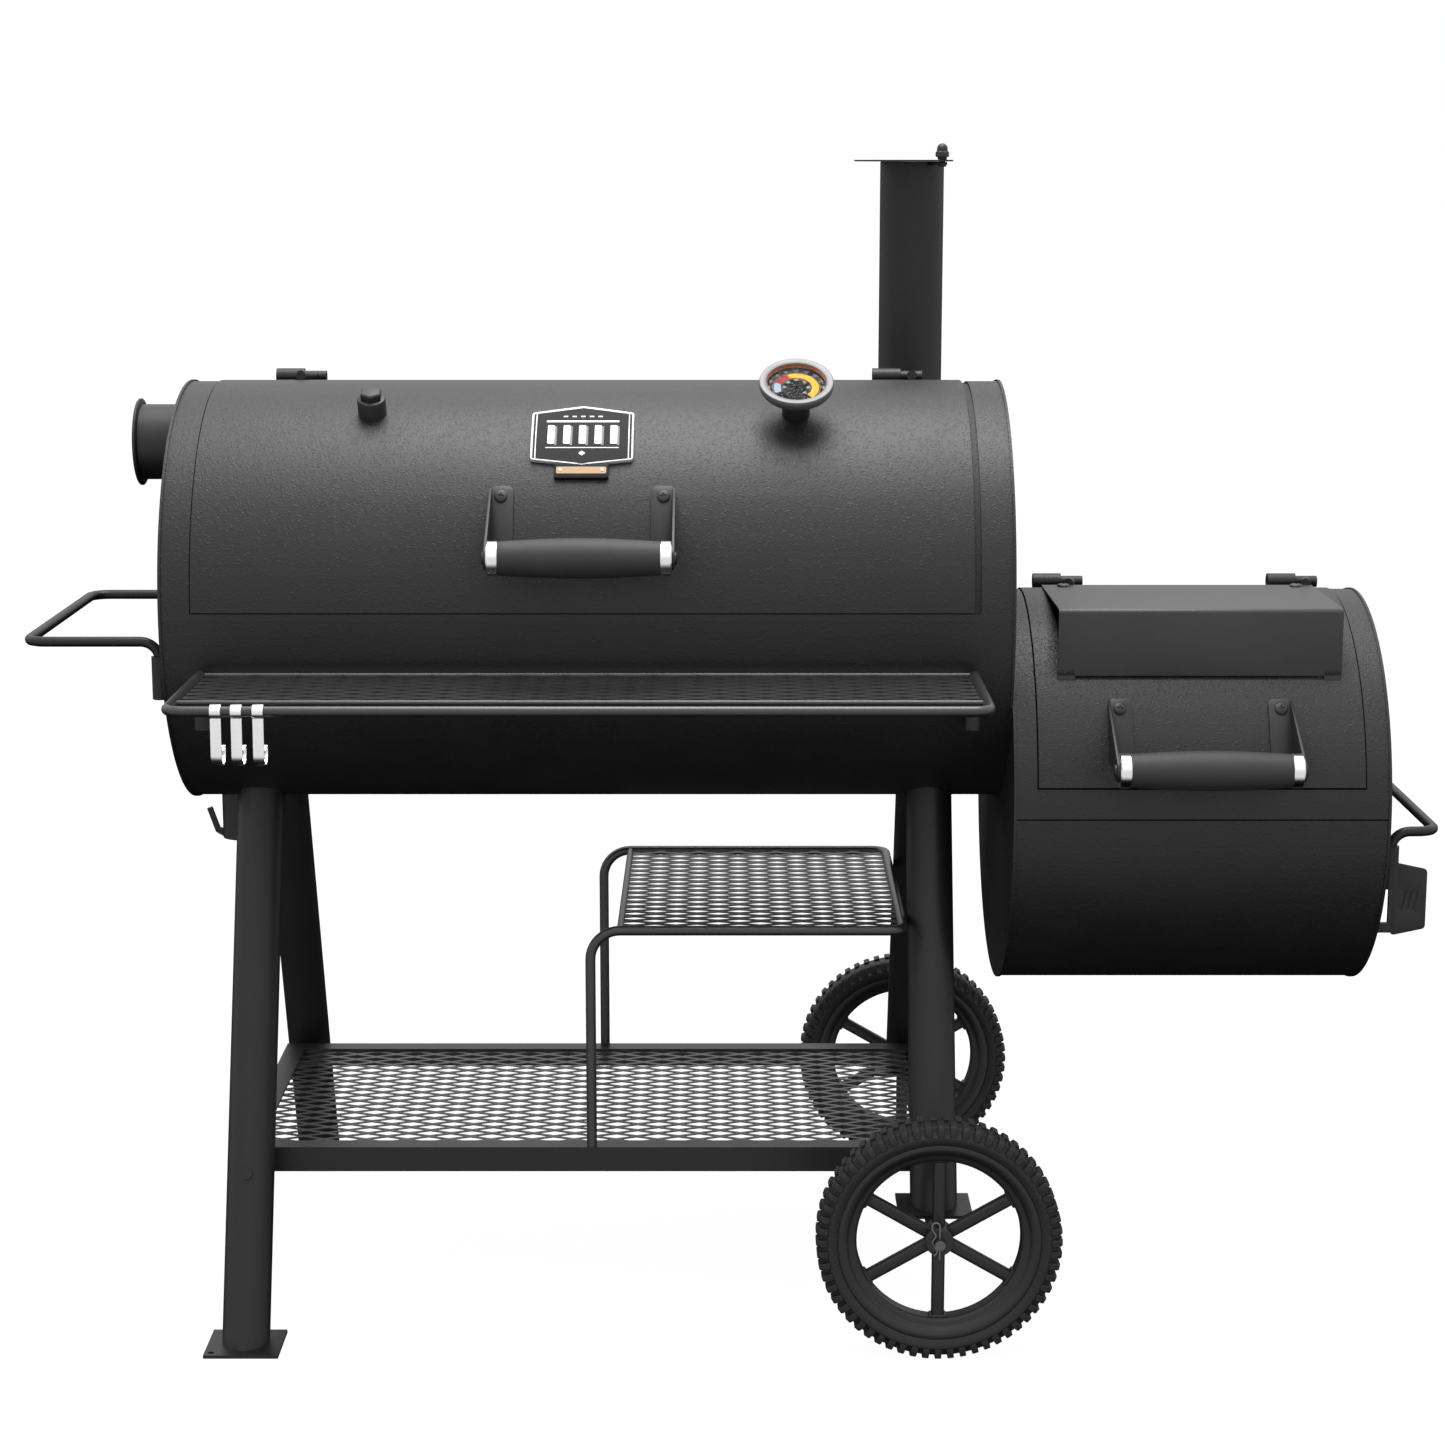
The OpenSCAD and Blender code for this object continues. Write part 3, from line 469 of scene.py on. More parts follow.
# round wire or rod along a path, with closed ends
def bendRod(name, path, radius, closed=False):
    piece = startPoint(name, path[0])
    drawLine(list(path) + (list(path[:1]) if closed else []))
    if closed:
        selectAll()
        bpy.ops.mesh.remove_doubles(threshold=0.00001)
    stopEdit()
    bpy.ops.object.convert(target="CURVE")
    piece = bpy.context.object
    piece.data.bevel_depth = radius
    piece.data.bevel_resolution = 4
    piece.data.use_fill_caps = True
    bpy.ops.object.convert(target="MESH")
    edit(piece)
    tidyNormals()
    stopEdit()
    piece.name = name
    return piece


# handle loops, and the bent frames of the two upper shelves
rods = dict(radius=6 * mm, bar=3 * mm, crossBar=4 * mm, footDrop=60 * mm)


def makeHandleLoop(node, side):
    low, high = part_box(node)
    r = rods["radius"]
    foot = high.x - r if side < 0 else low.x + r
    tip = low.x + r if side < 0 else high.x - r
    top = high.z - r
    path = [(foot, high.y - r, top - rods["footDrop"]), (foot, high.y - r, top), (tip, high.y - r, top),
            (tip, low.y + r, top), (foot, low.y + r, top), (foot, low.y + r, top - rods["footDrop"])]
    piece = bendRod(node + "_rod", roundPath(path, 22 * mm), r)
    finishPiece(piece, "root", framePaint, [node])


def makeFrontShelfFrame():
    low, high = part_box("front_shelf_frame")
    r = rods["radius"]
    top = high.z - r
    back = high.y - r
    front = low.y + r
    path = [(low.x + r, back, low.z), (low.x + r, back, top), (low.x + r, front, top), (high.x - r, front, top),
            (high.x - r, back, top), (high.x - r, back, low.z)]
    parts = [bendRod("loop", roundPath(path, 17 * mm), r)]
    meshLow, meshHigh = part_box("front_shelf_mesh")
    for y in (meshLow.y - rods["bar"], meshHigh.y + rods["bar"]):
        parts.append(bendRod("bar", [Vector((low.x + r, y, top)), Vector((high.x - r, y, top))], rods["bar"]))
    # the front shelf rods carry the lightened rod paint, a painted highlight
    finishPiece(joinPieces(parts, "front_shelf_rods"), "root", rodPaintLightenedAsPaintedHighlight, ["front_shelf_frame"])


def makeUpperShelfFrame():
    low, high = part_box("upper_shelf_frame")
    r = rods["radius"]
    top = high.z - r
    path = [(low.x + r, high.y - r, low.z), (low.x + r, high.y - r, top), (high.x - r, high.y - r, top),
            (high.x - r, low.y + r, top), (low.x + r, low.y + r, top), (low.x + r, low.y + r, low.z)]
    corners = roundPath(path[:3], 35 * mm, 10)[:-1] + roundPath(path[1:5], 18 * mm)[1:-1] + \
        roundPath(path[3:], 35 * mm, 10)[1:]
    parts = [bendRod("loop", corners, r)]
    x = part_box("upper_shelf_mesh")[0].x - rods["crossBar"]
    parts.append(bendRod("bar", [Vector((x, low.y + r, top)), Vector((x, high.y - r, top))], rods["crossBar"]))
    # the upper shelf rods carry the lightened rod paint, a painted highlight
    finishPiece(joinPieces(parts, "upper_shelf_rods"), "root", rodPaintLightenedAsPaintedHighlight, ["upper_shelf_frame"])


makeHandleLoop("barrel_handle", -1)
makeHandleLoop("firebox_handle", 1)
makeFrontShelfFrame()
makeUpperShelfFrame()
print("rods bent")


# expanded metal: stretched diamonds, their strands tilted
expanded = dict(long=50 * mm, short=22.5 * mm, thickness=1.1 * mm)


def makeExpanded(node, name, strand, tilt, lift=0.0):
    low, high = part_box(node)
    centre = (low + high) / 2
    size = high - low
    long, short = expanded["long"], expanded["short"]
    cells = int(max(size.x / long, size.y / short) * 2) + 6
    side = cells * long / math.sqrt(2)
    deselectAll()
    bpy.ops.mesh.primitive_grid_add(x_subdivisions=cells, y_subdivisions=cells, size=side, location=(0, 0, 0))
    piece = bpy.context.object
    piece.name = name
    settle(piece, turn=(0, 0, math.radians(45)))
    settle(piece, scale=(1, short / long, 1))
    reach = (size.x / 2, size.y / 2)
    edit(piece)
    pick(lambda face: abs(face.calc_center_median().x) > reach[0] + long or
         abs(face.calc_center_median().y) > reach[1] + short)
    bpy.ops.mesh.delete(type="FACE")
    selectAll()
    bpy.ops.mesh.inset(thickness=strand / 2, use_individual=True)
    mesh = bmesh.from_edit_mesh(piece.data)
    for face in mesh.faces:
        if face.select:
            y = face.calc_center_median().y
            for vertex in face.verts:
                vertex.co.z += tilt * (vertex.co.y - y)
    bmesh.update_edit_mesh(piece.data)
    bpy.ops.mesh.delete(type="FACE")
    for axis, limit in ((0, reach[0]), (1, reach[1])):
        for sign in (-1, 1):
            place = [0, 0, 0]
            away = [0, 0, 0]
            place[axis] = sign * limit
            away[axis] = sign
            selectAll()
            bpy.ops.mesh.bisect(plane_co=place, plane_no=away, clear_outer=True)
    tidyNormals()
    stopEdit()
    useModifier(piece, "SOLIDIFY", thickness=expanded["thickness"], offset=0)
    settle(piece, place=(centre.x, centre.y, centre.z + lift))
    finishPiece(piece, "root", meshPaint, [node], 30)


makeExpanded("front_shelf_mesh", "front_shelf_expanded", 3.8 * mm, -0.08)
makeExpanded("upper_shelf_mesh", "upper_shelf_expanded", 3.8 * mm, -0.08)
makeExpanded("lower_shelf_mesh", "lower_shelf_expanded", 4.2 * mm, -0.03, 0.001)
print("expanded metal made")


# screws and nuts of the lid handles
screw = dict(headRadius=7.5 * mm, headHeight=3.6 * mm, slotWidth=1.5 * mm, slotLength=7.5 * mm,
             slotDepth=1.6 * mm, nutRadius=6.2 * mm)


def makeScrewHead():
    r, h = screw["headRadius"], screw["headHeight"]
    turns = [math.radians(a) for a in range(0, 91, 15)]
    crown = [(r * math.cos(t), h * (0.35 + 0.65 * math.sin(t))) for t in turns]
    head = lathe("screw", [(0, -0.5 * mm), (r, -0.5 * mm)] + crown, 28)
    bottom, top = h - screw["slotDepth"], h + 2 * mm
    for turn in (0, 90):
        deselectAll()
        bpy.ops.mesh.primitive_cube_add(size=1, location=(0, 0, 0))
        slotCut = bpy.context.object
        settle(slotCut, place=(0, 0, (bottom + top) / 2), turn=(0, 0, math.radians(turn)),
               scale=(screw["slotLength"], screw["slotWidth"], top - bottom))
        useModifier(head, "BOOLEAN", object=slotCut, operation="DIFFERENCE", solver="EXACT")
        bpy.data.objects.remove(slotCut)
    return head


screwHead = makeScrewHead()


def makeNut():
    r = screw["nutRadius"]
    nut = lathe("nut", [(0, -8.5 * mm), (r * 0.86, -8.5 * mm), (r, -7.8 * mm), (r, -4.6 * mm),
                        (r * 0.86, -4 * mm), (0, -4 * mm)], 6)
    shaft = lathe("shaft", [(0, -11 * mm), (2.4 * mm, -11 * mm), (3 * mm, -10.4 * mm), (3 * mm, -3 * mm),
                            (0, -3 * mm)], 16)
    return joinPieces([nut, shaft], "nut")


innerNut = makeNut()


# lid handles: pad on the shell, blade, turned grip between two bright ferrules
handle = dict(padLow=17.5, padHigh=35.6, padWidth=28 * mm, padRound=8 * mm, sheet=3 * mm,
              screwAngle=32.5, nutAngles=(20, 32.5), gripAngle=14.5, gripOut=58 * mm, tip=13 * mm,
              span=208.5 * mm, ferrule=12.5 * mm, endRadius=18.9 * mm, belly=3.6 * mm)


def makePad(side):
    radius = handle["radius"]
    long = radius * math.radians(handle["padHigh"] - handle["padLow"])
    w, r = handle["padWidth"] / 2, handle["padRound"]
    outline = [(-w, -long / 2), (w, -long / 2)] + arc((w - r, long / 2 - r), r, 0, 90, 6) + \
        arc((r - w, long / 2 - r), r, 90, 180, 6)
    pad = plate("pad", outline, handle["sheet"])
    roundEdges(pad, 0.6 * mm, 2, 50)
    sliceUp(pad)
    x = handle["x"] + side * (handle["span"] / 2 + 1.5 * mm - w)
    return layOnShell(pad, handle["axis"], x, radius, (handle["padLow"] + handle["padHigh"]) / 2)


def makeBlade(side):
    radius = handle["radius"]
    grip = point(radius + handle["gripOut"], handle["gripAngle"])
    top = point(radius + 3.4 * mm, handle["padHigh"] - 0.6)
    reach = math.dist(grip, top)
    start = math.degrees(math.atan2(top[1] - grip[1], top[0] - grip[0]) + math.acos(handle["tip"] / reach))
    foot = [point(radius + 1.2 * mm, handle["padLow"] + 0.4 + k * 2.1) for k in range(9)]
    blade = plate("blade", [top] + arc(grip, handle["tip"], start, 250, 14) + foot, handle["sheet"])
    roundEdges(blade, 0.5 * mm, 2, 50)
    stand(blade, Matrix.Translation((handle["x"] + side * handle["span"] / 2 - handle["sheet"] / 2,
                                     handle["axis"].y, handle["axis"].z)) @
          Matrix.Rotation(math.pi / 2, 4, "Z") @ Matrix.Rotation(math.pi / 2, 4, "X"))
    return blade


def makeHandle(name, body, lid, axis, radius):
    handle["axis"], handle["radius"] = axis, radius
    low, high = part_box(lid + "_lid_grip")
    handle["x"] = (low.x + high.x) / 2
    metal = [part for side in (-1, 1) for part in (makePad(side), makeBlade(side))]
    finishPiece(joinPieces(metal, name + "_brackets"), body, smoothPaint,
                [lid + "_lid_brackets"])

    y, z = point(radius + handle["gripOut"], handle["gripAngle"])
    alongX = Matrix.Translation((handle["x"], axis.y + y, axis.z + z)) @ Matrix.Rotation(math.pi / 2, 4, "Y")
    half = handle["span"] / 2 - 1.5 * mm
    inner = half - handle["ferrule"]
    swell = [(handle["endRadius"] + handle["belly"] * math.sin(math.pi * k / 24), inner * (k / 12 - 1))
             for k in range(25)]
    grip = lathe("grip", [(0, -inner), (16 * mm, -inner)] + swell + [(16 * mm, inner), (0, inner)], 48)
    roundEdges(grip, 0.5 * mm, 2, 50)
    stand(grip, alongX)
    finishPiece(grip, body, gripBlack, [lid + "_lid_grip"])
    grip.name = name + "_grip"
    r = handle["endRadius"]
    ends = [(0, inner), (r + 0.1 * mm, inner), (r + 0.7 * mm, inner + 0.8 * mm), (r + 0.7 * mm, half - 1.4 * mm),
            (r - 0.6 * mm, half), (0, half)]
    ferrules = [stand(lathe("ferrule", [(a, b * side) for a, b in ends], 48), alongX) for side in (-1, 1)]
    finishPiece(joinPieces(ferrules, name + "_ferrules"), body, chrome, angle=30)

    spots = [(screwHead, handle["screwAngle"])] + [(innerNut, angle) for angle in handle["nutAngles"]]
    fixings = []
    for side in (-1, 1):
        x = handle["x"] + side * (handle["span"] / 2 - handle["padWidth"] / 2 + 2 * mm)
        for part, angle in spots:
            twin = copyOf(part, "fixing")
            lift = handle["sheet"] if part is screwHead else 0
            twist = Matrix.Rotation(math.radians(side * 9), 4, "Z")
            stand(twin, onShell(axis, x, radius + lift, angle) @ twist)
            fixings.append(twin)
        bolt = copyOf(screwHead, "fixing")
        outside = handle["x"] + side * (half + handle["sheet"])
        stand(bolt, Matrix.Translation((outside, axis.y + y, axis.z + z)) @
              Matrix.Rotation(side * math.pi / 2, 4, "Y"))
        fixings.append(bolt)
    finishPiece(joinPieces(fixings, name + "_screws"), body, smoothPaint, angle=30)


makeHandle("barrel_lid_handle", "barrel_lid", "barrel", barrelAxis, barrelLidRadius)
makeHandle("firebox_lid_handle", "firebox_lid", "firebox", fireAxis, fireLidRadius)
bpy.data.objects.remove(innerNut)
print("lid handles made")


# wheels: rim, six spokes and hub, made once with the axle along Z
turnToY = Matrix.Rotation(-math.pi / 2, 4, "X")
turnToX = Matrix.Rotation(math.pi / 2, 4, "Y")
wheel = dict(spokes=6, spokeWidth=15 * mm, spokeDepth=12 * mm, spokeRound=4.6 * mm, spokeEnd=97 * mm,
             footWidth=21 * mm, footDepth=15 * mm, footHigh=5 * mm, bore=6.15 * mm, hub=16.5 * mm,
             hubHalf=17 * mm)
rimHalf = [(94, 9), (97, 12), (103, 13.5), (106, 17.5), (111, 20), (116, 19.5), (117, 16), (113, 12), (112, 0)]


# closes the outline of a symmetric ring from its upper half, in millimetres
def mirrored(half):
    lower = [(r, -y) for r, y in half[::-1] if y > 0.01]
    return inMm(half + lower)


def makeBar(length, width, depth, rounding):
    deselectAll()
    bpy.ops.mesh.primitive_cube_add(size=1, location=(0, 0, 0))
    bar = settle(bpy.context.object, scale=(length, width, depth))
    roundEdges(bar, rounding, 4, 50)
    return bar


def makeWheelBody():
    rim = lathe("rim", mirrored(rimHalf), 96, closed=True)
    roundEdges(rim, 1.3 * mm, 2, 12)
    parts = [rim]
    start = wheel["bore"] + 4 * mm
    long = wheel["spokeEnd"] - start
    spoke = settle(makeBar(long, wheel["spokeWidth"], wheel["spokeDepth"], wheel["spokeRound"]),
                   place=(start + long / 2, 0, 0))
    foot = settle(makeBar(wheel["footHigh"], wheel["footWidth"], wheel["footDepth"], 2.2 * mm),
                  place=(wheel["spokeEnd"] - 3.4 * mm, 0, 0))
    arm = joinPieces([spoke, foot], "arm")
    for k in range(wheel["spokes"]):
        parts.append(settle(copyOf(arm, "arm"), turn=(0, 0, math.radians(30 + 360 * k / wheel["spokes"]))))
    bpy.data.objects.remove(arm)
    b, r, h = wheel["bore"], wheel["hub"], wheel["hubHalf"]
    hub = lathe("hub", [(b, -h), (r - 2 * mm, -h), (r, -h + 1.6 * mm), (r, h - 1.6 * mm), (r - 2 * mm, h),
                        (b, h)], 48, closed=True)
    return joinPieces(parts + [hub], "wheel")


# tyre: round casing, two staggered rows of square blocks
tyre = dict(blocks=60, blockWide=7.4 * mm)
casingHalf = [(113, 15), (117, 19.5), (122, 22), (127, 22.5), (128.4, 19.5), (132, 16.5), (137.2, 14.4),
              (137.4, 0)]
blockShape = [(2.0, 132), (2.0, 140.3), (17.6, 140.3), (20.6, 138.6), (22.3, 134), (22.5, 127.4), (18, 127.4)]


def makeTyre():
    casing = lathe("casing", mirrored(casingHalf), 120, closed=True)
    roundEdges(casing, 1.2 * mm, 2, 14)
    parts = [casing]
    pitch = 360 / tyre["blocks"]
    for side in (1, -1):
        block = plate("block", [(y * side * mm, r * mm) for y, r in blockShape], tyre["blockWide"])
        settle(block, place=(0, 0, -tyre["blockWide"] / 2))
        roundEdges(block, 0.6 * mm, 1, 40)
        stand(block, Matrix.Rotation(math.radians(pitch / 2 if side > 0 else 0), 4, "Z") @
              Matrix.Rotation(-math.pi / 2, 4, "Y"))
        edit(block)
        bpy.ops.mesh.spin(steps=tyre["blocks"] - 1, angle=math.radians(360 - pitch), dupli=True,
                          center=(0, 0, 0), axis=(0, 0, 1))
        stopEdit()
        parts.append(block)
    return joinPieces(parts, "tyre")


def makeWasher(hole, radius, thickness):
    edge = 0.4 * mm
    return lathe("washer", [(hole, 0), (radius - edge, 0), (radius, edge), (radius, thickness - edge),
                            (radius - edge, thickness), (hole, thickness)], 40, closed=True)


def makeWheels():
    wheelBody, tyreBody = makeWheelBody(), makeTyre()
    for end in ("front", "rear"):
        place = Matrix.Translation(middle(end + "_wheel")) @ turnToY
        body = "wheel_" + end
        turned = stand(copyOf(wheelBody, end + "_wheel_rim"), place)
        finishPiece(turned, body, wheelPaint, [end + "_wheel"])
        rubber = stand(copyOf(tyreBody, end + "_wheel_tyre"), place)
        finishPiece(rubber, body, tyreRubber, [end + "_tyre"])
    bpy.data.objects.remove(wheelBody)
    bpy.data.objects.remove(tyreBody)


makeWheels()
print("wheels made")


# washers and spring pins at the axle's ends
hitchPin = dict(wire=1.1 * mm, inset=7 * mm, washer=15.5 * mm, washerThick=1.8 * mm)
straightLeg = [(0, -19), (0, 20)]
wavyLeg = [(-8.8, 17), (-3.9, 9.2), (-8.8, 1.8), (-5.1, -5.5), (-1.8, -10), (-6.5, -14.5)]


def makePins():
    low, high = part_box("axle")
    x, z = (low.x + high.x) / 2, (low.z + high.z) / 2
    loop = arc((-4.5, 20.5), 4.4, 0, 190, 10)
    wires, washers = [], []
    for side in (-1, 1):
        y = low.y + hitchPin["inset"] if side < 0 else high.y - hitchPin["inset"]
        wave = roundPath([(a, 0, b) for a, b in [loop[-1]] + wavyLeg], 3.2, 5)
        path = [Vector((a, 0, b)) for a, b in straightLeg[:1] + loop] + wave[1:]
        wires.append(bendRod("pin", [Vector((x, y, z)) + p * mm for p in path], hitchPin["wire"]))
        washer = makeWasher(wheel["bore"], hitchPin["washer"], hitchPin["washerThick"])
        hubFace = middle("front_wheel" if side < 0 else "rear_wheel").y + side * wheel["hubHalf"]
        stand(washer, Matrix.Translation((x, hubFace + (0.2 * mm if side > 0 else -2 * mm), z)) @ turnToY)
        washers.append(washer)
    finishPiece(joinPieces(wires, "spring_pins"), "root", bezelSteel, ["hitch_pins"])
    finishPiece(joinPieces(washers, "axle_washers"), "root", smoothPaint, angle=30)


makePins()
print("pins made")


# tool hooks: one flat strip each, clipped round the shelf's front tube
hook = dict(width=11.6 * mm, sheet=1.6 * mm, clip=7.1, step=(-3.6, -9.5), shankEnd=(-4.6, -46), curl=13.2)


def makeHooks():
    shelfLow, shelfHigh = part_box("front_shelf_frame")
    r = hook["curl"]
    path = arc((0, 0), hook["clip"], 20, 243, 18) + [hook["step"]] + \
        arc((hook["shankEnd"][0] + r, hook["shankEnd"][1]), r, 180, 385, 22)
    points = [(0, y * mm, z * mm) for y, z in path]
    strip = startPoint("strip", points[0])
    drawLine(points)
    selectAll()
    bpy.ops.mesh.extrude_region_move(TRANSFORM_OT_translate={"value": (hook["width"], 0, 0)})
    tidyNormals()
    stopEdit()
    useModifier(strip, "SOLIDIFY", thickness=hook["sheet"], offset=0)
    roundEdges(strip, 0.3 * mm, 2, 60)
    for name in ("left", "middle", "right"):
        node = "tool_hook_" + name
        twin = settle(copyOf(strip, node + "_strip"),
                      place=(middle(node).x - hook["width"] / 2, shelfLow.y + rods["radius"],
                             shelfHigh.z - rods["radius"]))
        finishPiece(twin, "hook_" + name, hookChrome, [node])
    bpy.data.objects.remove(strip)


makeHooks()
print("hooks made")


# temperature gauge: bezel and cup, stem, probe, dial, colour band, figures, glass, needle, and an orange ring
# inside the bezel that is a painted reflection
gauge = dict(angle=62, lean=4.7, out=48.0, dial=37.7, bandInner=18.0, bandOuter=26.2, tickRadius=28.3,
             figureRadius=31.6, innerFigures=13.4)
bezelShape = [(0, 31.5), (30, 31.5), (36.5, 32.8), (40.5, 35.6), (42.7, 39.6), (43, 43), (43, 46), (42.3, 47.5),
              (41, 48), (39.4, 47.9), (36, 47.4), (34.7, 46.6), (34.3, 45), (34.3, 37.2), (0, 37.2)]
bandColours = [(161, 204, (0.27, 0.36, 0.42)), (112, 161, (0.30, 0.045, 0.03)), (-47, 112, (0.80, 0.36, 0.04))]


def plainFinish(name, colour, gloss, metal=0.0, shine=0.5):
    finish = Finish(name, Metallic=metal, Specular_IOR_Level=shine)
    fine = finish.noise(900, 2, 0.5)
    finish.feed("Base Color", fine.tint(tuple(c * 0.93 for c in colour), colour))
    finish.feed("Roughness", fine * 0.08 + (gloss - 0.04))
    return finish.material


dialBlack = plainFinish("dial black", (0.010, 0.010, 0.011), 0.6, 0, 0.02)
blackGloss = plainFinish("badge black", (0.006, 0.006, 0.006), 0.5, 0, 0.15)
dialWhite = plainFinish("dial white", (0.75, 0.75, 0.75), 0.6, 0, 0.02)
# orange for the ring inside the bezel: a painted reflection of the bezel seen in the glass
dialPaintedOrangeReflection = plainFinish("dial painted orange reflection", (0.30, 0.10, 0.035), 0.5, 0, 0.1)
glass = Finish("gauge glass", Base_Color=(0.01, 0.01, 0.01, 1), Roughness=0.08, Alpha=0.04).material


def ring(name, inner, outer, z, height, sweep=360, start=0):
    outline = [(inner, z), (outer, z), (outer, z + height), (inner, z + height)]
    steps = 96 if sweep == 360 else max(6, int(sweep / 4))
    band = lathe(name, inMm(outline), steps, sweep, closed=True)
    return settle(band, turn=(0, 0, math.radians(start)))


def figure(text, size, radius, angle):
    deselectAll()
    bpy.ops.object.text_add(location=(0, 0, 0))
    made = bpy.context.object
    made.data.body = text
    made.data.size = size * mm
    made.data.extrude = 0.06 * mm
    made.data.resolution_u = 2
    made.data.align_x = "CENTER"
    made.data.align_y = "CENTER"
    bpy.ops.object.convert(target="MESH")
    made = bpy.context.object
    turn = math.radians(angle)
    return settle(made, place=(radius * math.cos(turn) * mm, radius * math.sin(turn) * mm,
                               (gauge["dial"] + 0.4) * mm), turn=(0, 0, turn - math.pi / 2))


def tick(radius, long, wide, angle):
    mark = plate("tick", inMm(oblong(-wide / 2, 0, wide / 2, long)), 0.1 * mm)
    turn = math.radians(angle)
    return settle(mark, place=(radius * math.cos(turn) * mm, radius * math.sin(turn) * mm,
                               (gauge["dial"] + 0.35) * mm), turn=(0, 0, turn - math.pi / 2))


def makeGauge():
    place = onShell(barrelAxis, middle("gauge_case").x, barrelLidRadius, gauge["angle"]) @ \
        Matrix.Rotation(math.radians(gauge["lean"]), 4, "X")

    def put(piece, name, slot, material, stands=(), body="barrel_lid", angle=35):
        piece.name = name
        stand(piece, place)
        finishPiece(piece, body, material, stands, angle)

    bezel = lathe("bezel", inMm(bezelShape), 96)
    put(bezel, "gauge_bezel", "gauge_steel", bezelSteel, ["gauge_case"])
    stem = lathe("stem", inMm([(0, -2.5), (16, -2.5), (16, 30), (15, 32), (0, 32)]), 64)
    put(stem, "gauge_stem", "black_paint", stemPaint)
    probe = lathe("probe", inMm([(0, -60), (2.6, -60), (4, -57.5), (4, -12), (8.6, -12), (8.9, -11.6),
                                 (8.9, 0.5), (0, 0.5)]), 32)
    put(probe, "gauge_probe", "axle_steel", axleSteel)
    put(ring("dial", 0.01, 34.2, gauge["dial"] - 0.2, 0.4), "gauge_dial", "gauge_steel", dialBlack)
    put(ring("wall", 33.6, 34.25, gauge["dial"] + 0.2, 3.4), "gauge_inner_wall", "gauge_steel", dialBlack)
    # the upper inner ring is coloured orange as a painted reflection at the top of the dial
    put(ring("wall", 33.7, 34.25, gauge["dial"] + 3.6, 4.2), "gauge_painted_reflection_ring", "gauge_steel", dialPaintedOrangeReflection)
    for k, (start, end, colour) in enumerate(bandColours):
        number = str(k + 1)
        enamel = plainFinish("dial band " + number, colour, 0.6, 0, 0.02)
        band = ring("band", gauge["bandInner"], gauge["bandOuter"], gauge["dial"] + 0.2, 0.15,
                    end - start, end)
        put(band, "gauge_band_" + number, "gauge_steel", enamel)
    marks = []
    for k in range(49):
        big = k % 4 == 0
        long, wide = (1.9, 0.7) if big else (1.0, 0.4)
        marks.append(tick(gauge["tickRadius"] - 1.1, long, wide, 225 - 270 * k / 48))
    for k in range(13):
        marks.append(figure(str(100 + 50 * k), 3.5, gauge["figureRadius"] - 0.2, 225 - 22.5 * k))
    for k in range(7):
        marks.append(figure(str(50 * (k + 1)), 3.3, gauge["innerFigures"], 225 - 45 * k))
    for k in range(25):
        marks.append(tick(15.6, 1.2 if k % 4 == 0 else 0.8, 0.45, 225 - 270 * k / 24))
    put(joinPieces(marks, "marks"), "gauge_marks", "gauge_steel", dialWhite)
    out = gauge["out"]
    lens = lathe("lens", inMm([(0, out - 3.5), (34.2, out - 3.5), (34.2, out - 2.1), (28, out - 1.7),
                               (0, out - 1.5)]), 72)
    put(lens, "gauge_glass_disc", "gauge_glass", glass, ["gauge_lens"])

    needle = plate("needle", inMm([(-8, -1.2), (23, -0.4), (25, 0), (23, 0.4), (-8, 1.2)]), 0.5 * mm)
    settle(needle, place=(0, 0, (gauge["dial"] + 1.4) * mm), turn=(0, 0, math.radians(225)))
    cap = lathe("cap", inMm([(0, 0.6), (2.6, 0.6), (2.6, 2.4), (1.8, 2.9), (0, 2.9)]), 32)
    settle(cap, place=(0, 0, gauge["dial"] * mm))
    put(joinPieces([needle, cap], "needle"), "gauge_pointer_needle", "needle_dark", dialBlack, ["gauge_needle"],
        "gauge_pointer")


makeGauge()
print("gauge made")


# probe plug in the other gauge hole
def makePlug():
    boss = lathe("boss", inMm([(0, -20), (8.2, -20), (8.9, -19.3), (8.9, -1.6), (16.5, -1.6), (16.5, 19.6),
                               (15.9, 21.2), (14.4, 22), (0, 22)]), 64)
    head = lathe("head", inMm([(0, 21.5), (13.3, 21.5), (13.3, 29.4), (11.2, 31), (0, 31)]), 6)
    roundEdges(head, 0.5 * mm, 2, 25)
    settle(head, turn=(0, 0, math.radians(30)))
    plug = joinPieces([boss, head], "probe_port_plug")
    stand(plug, onShell(barrelAxis, middle("probe_plug").x, barrelLidRadius, gauge["angle"]))
    finishPiece(plug, "barrel_lid", smoothPaint, ["probe_plug"], 30)


makePlug()
print("plug made")


# badge: raised silver rim, dark panel, plain grate emblem, small tag below
badge = dict(angle=52.7, left=0.8 * mm, thick=5.6 * mm, rim=2.3 * mm, sink=1.4 * mm, lineX=53.4)
badgeSilver = plainFinish("badge silver", (0.55, 0.55, 0.55), 0.55, 0.3, 0.3)
badgeGrey = plainFinish("badge grey", (0.030, 0.030, 0.031), 0.6, 0, 0.04)
badgeWhite = plainFinish("badge white", (0.70, 0.70, 0.69), 0.6, 0, 0.1)
badgeLight = plainFinish("badge light grey", (0.20, 0.20, 0.20), 0.6, 0, 0.1)
tagBrass = plainFinish("tag brass", (0.42, 0.29, 0.18), 0.55, 0, 0.1)
badgeShape = [(-58.8, -41), (0, -48.4), (58.8, -41), (58.8, 34.8), (0, 48.4), (-58.8, 34.8)]


def flat(name, outline, bottom, thickness, rounding=0):
    piece = plate(name, inMm(outline), thickness)
    settle(piece, place=(0, 0, bottom))
    if rounding:
        roundEdges(piece, rounding, 2, 50)
    return piece


def softShape(outline, radius, steps=4):
    points = [(x, y, 0) for x, y in outline]
    start = tuple((a + b) / 2 for a, b in zip(points[0], points[-1]))
    path = roundPath([start] + points + [start], radius, steps)[:-1]
    return [(p.x, p.y) for p in path]


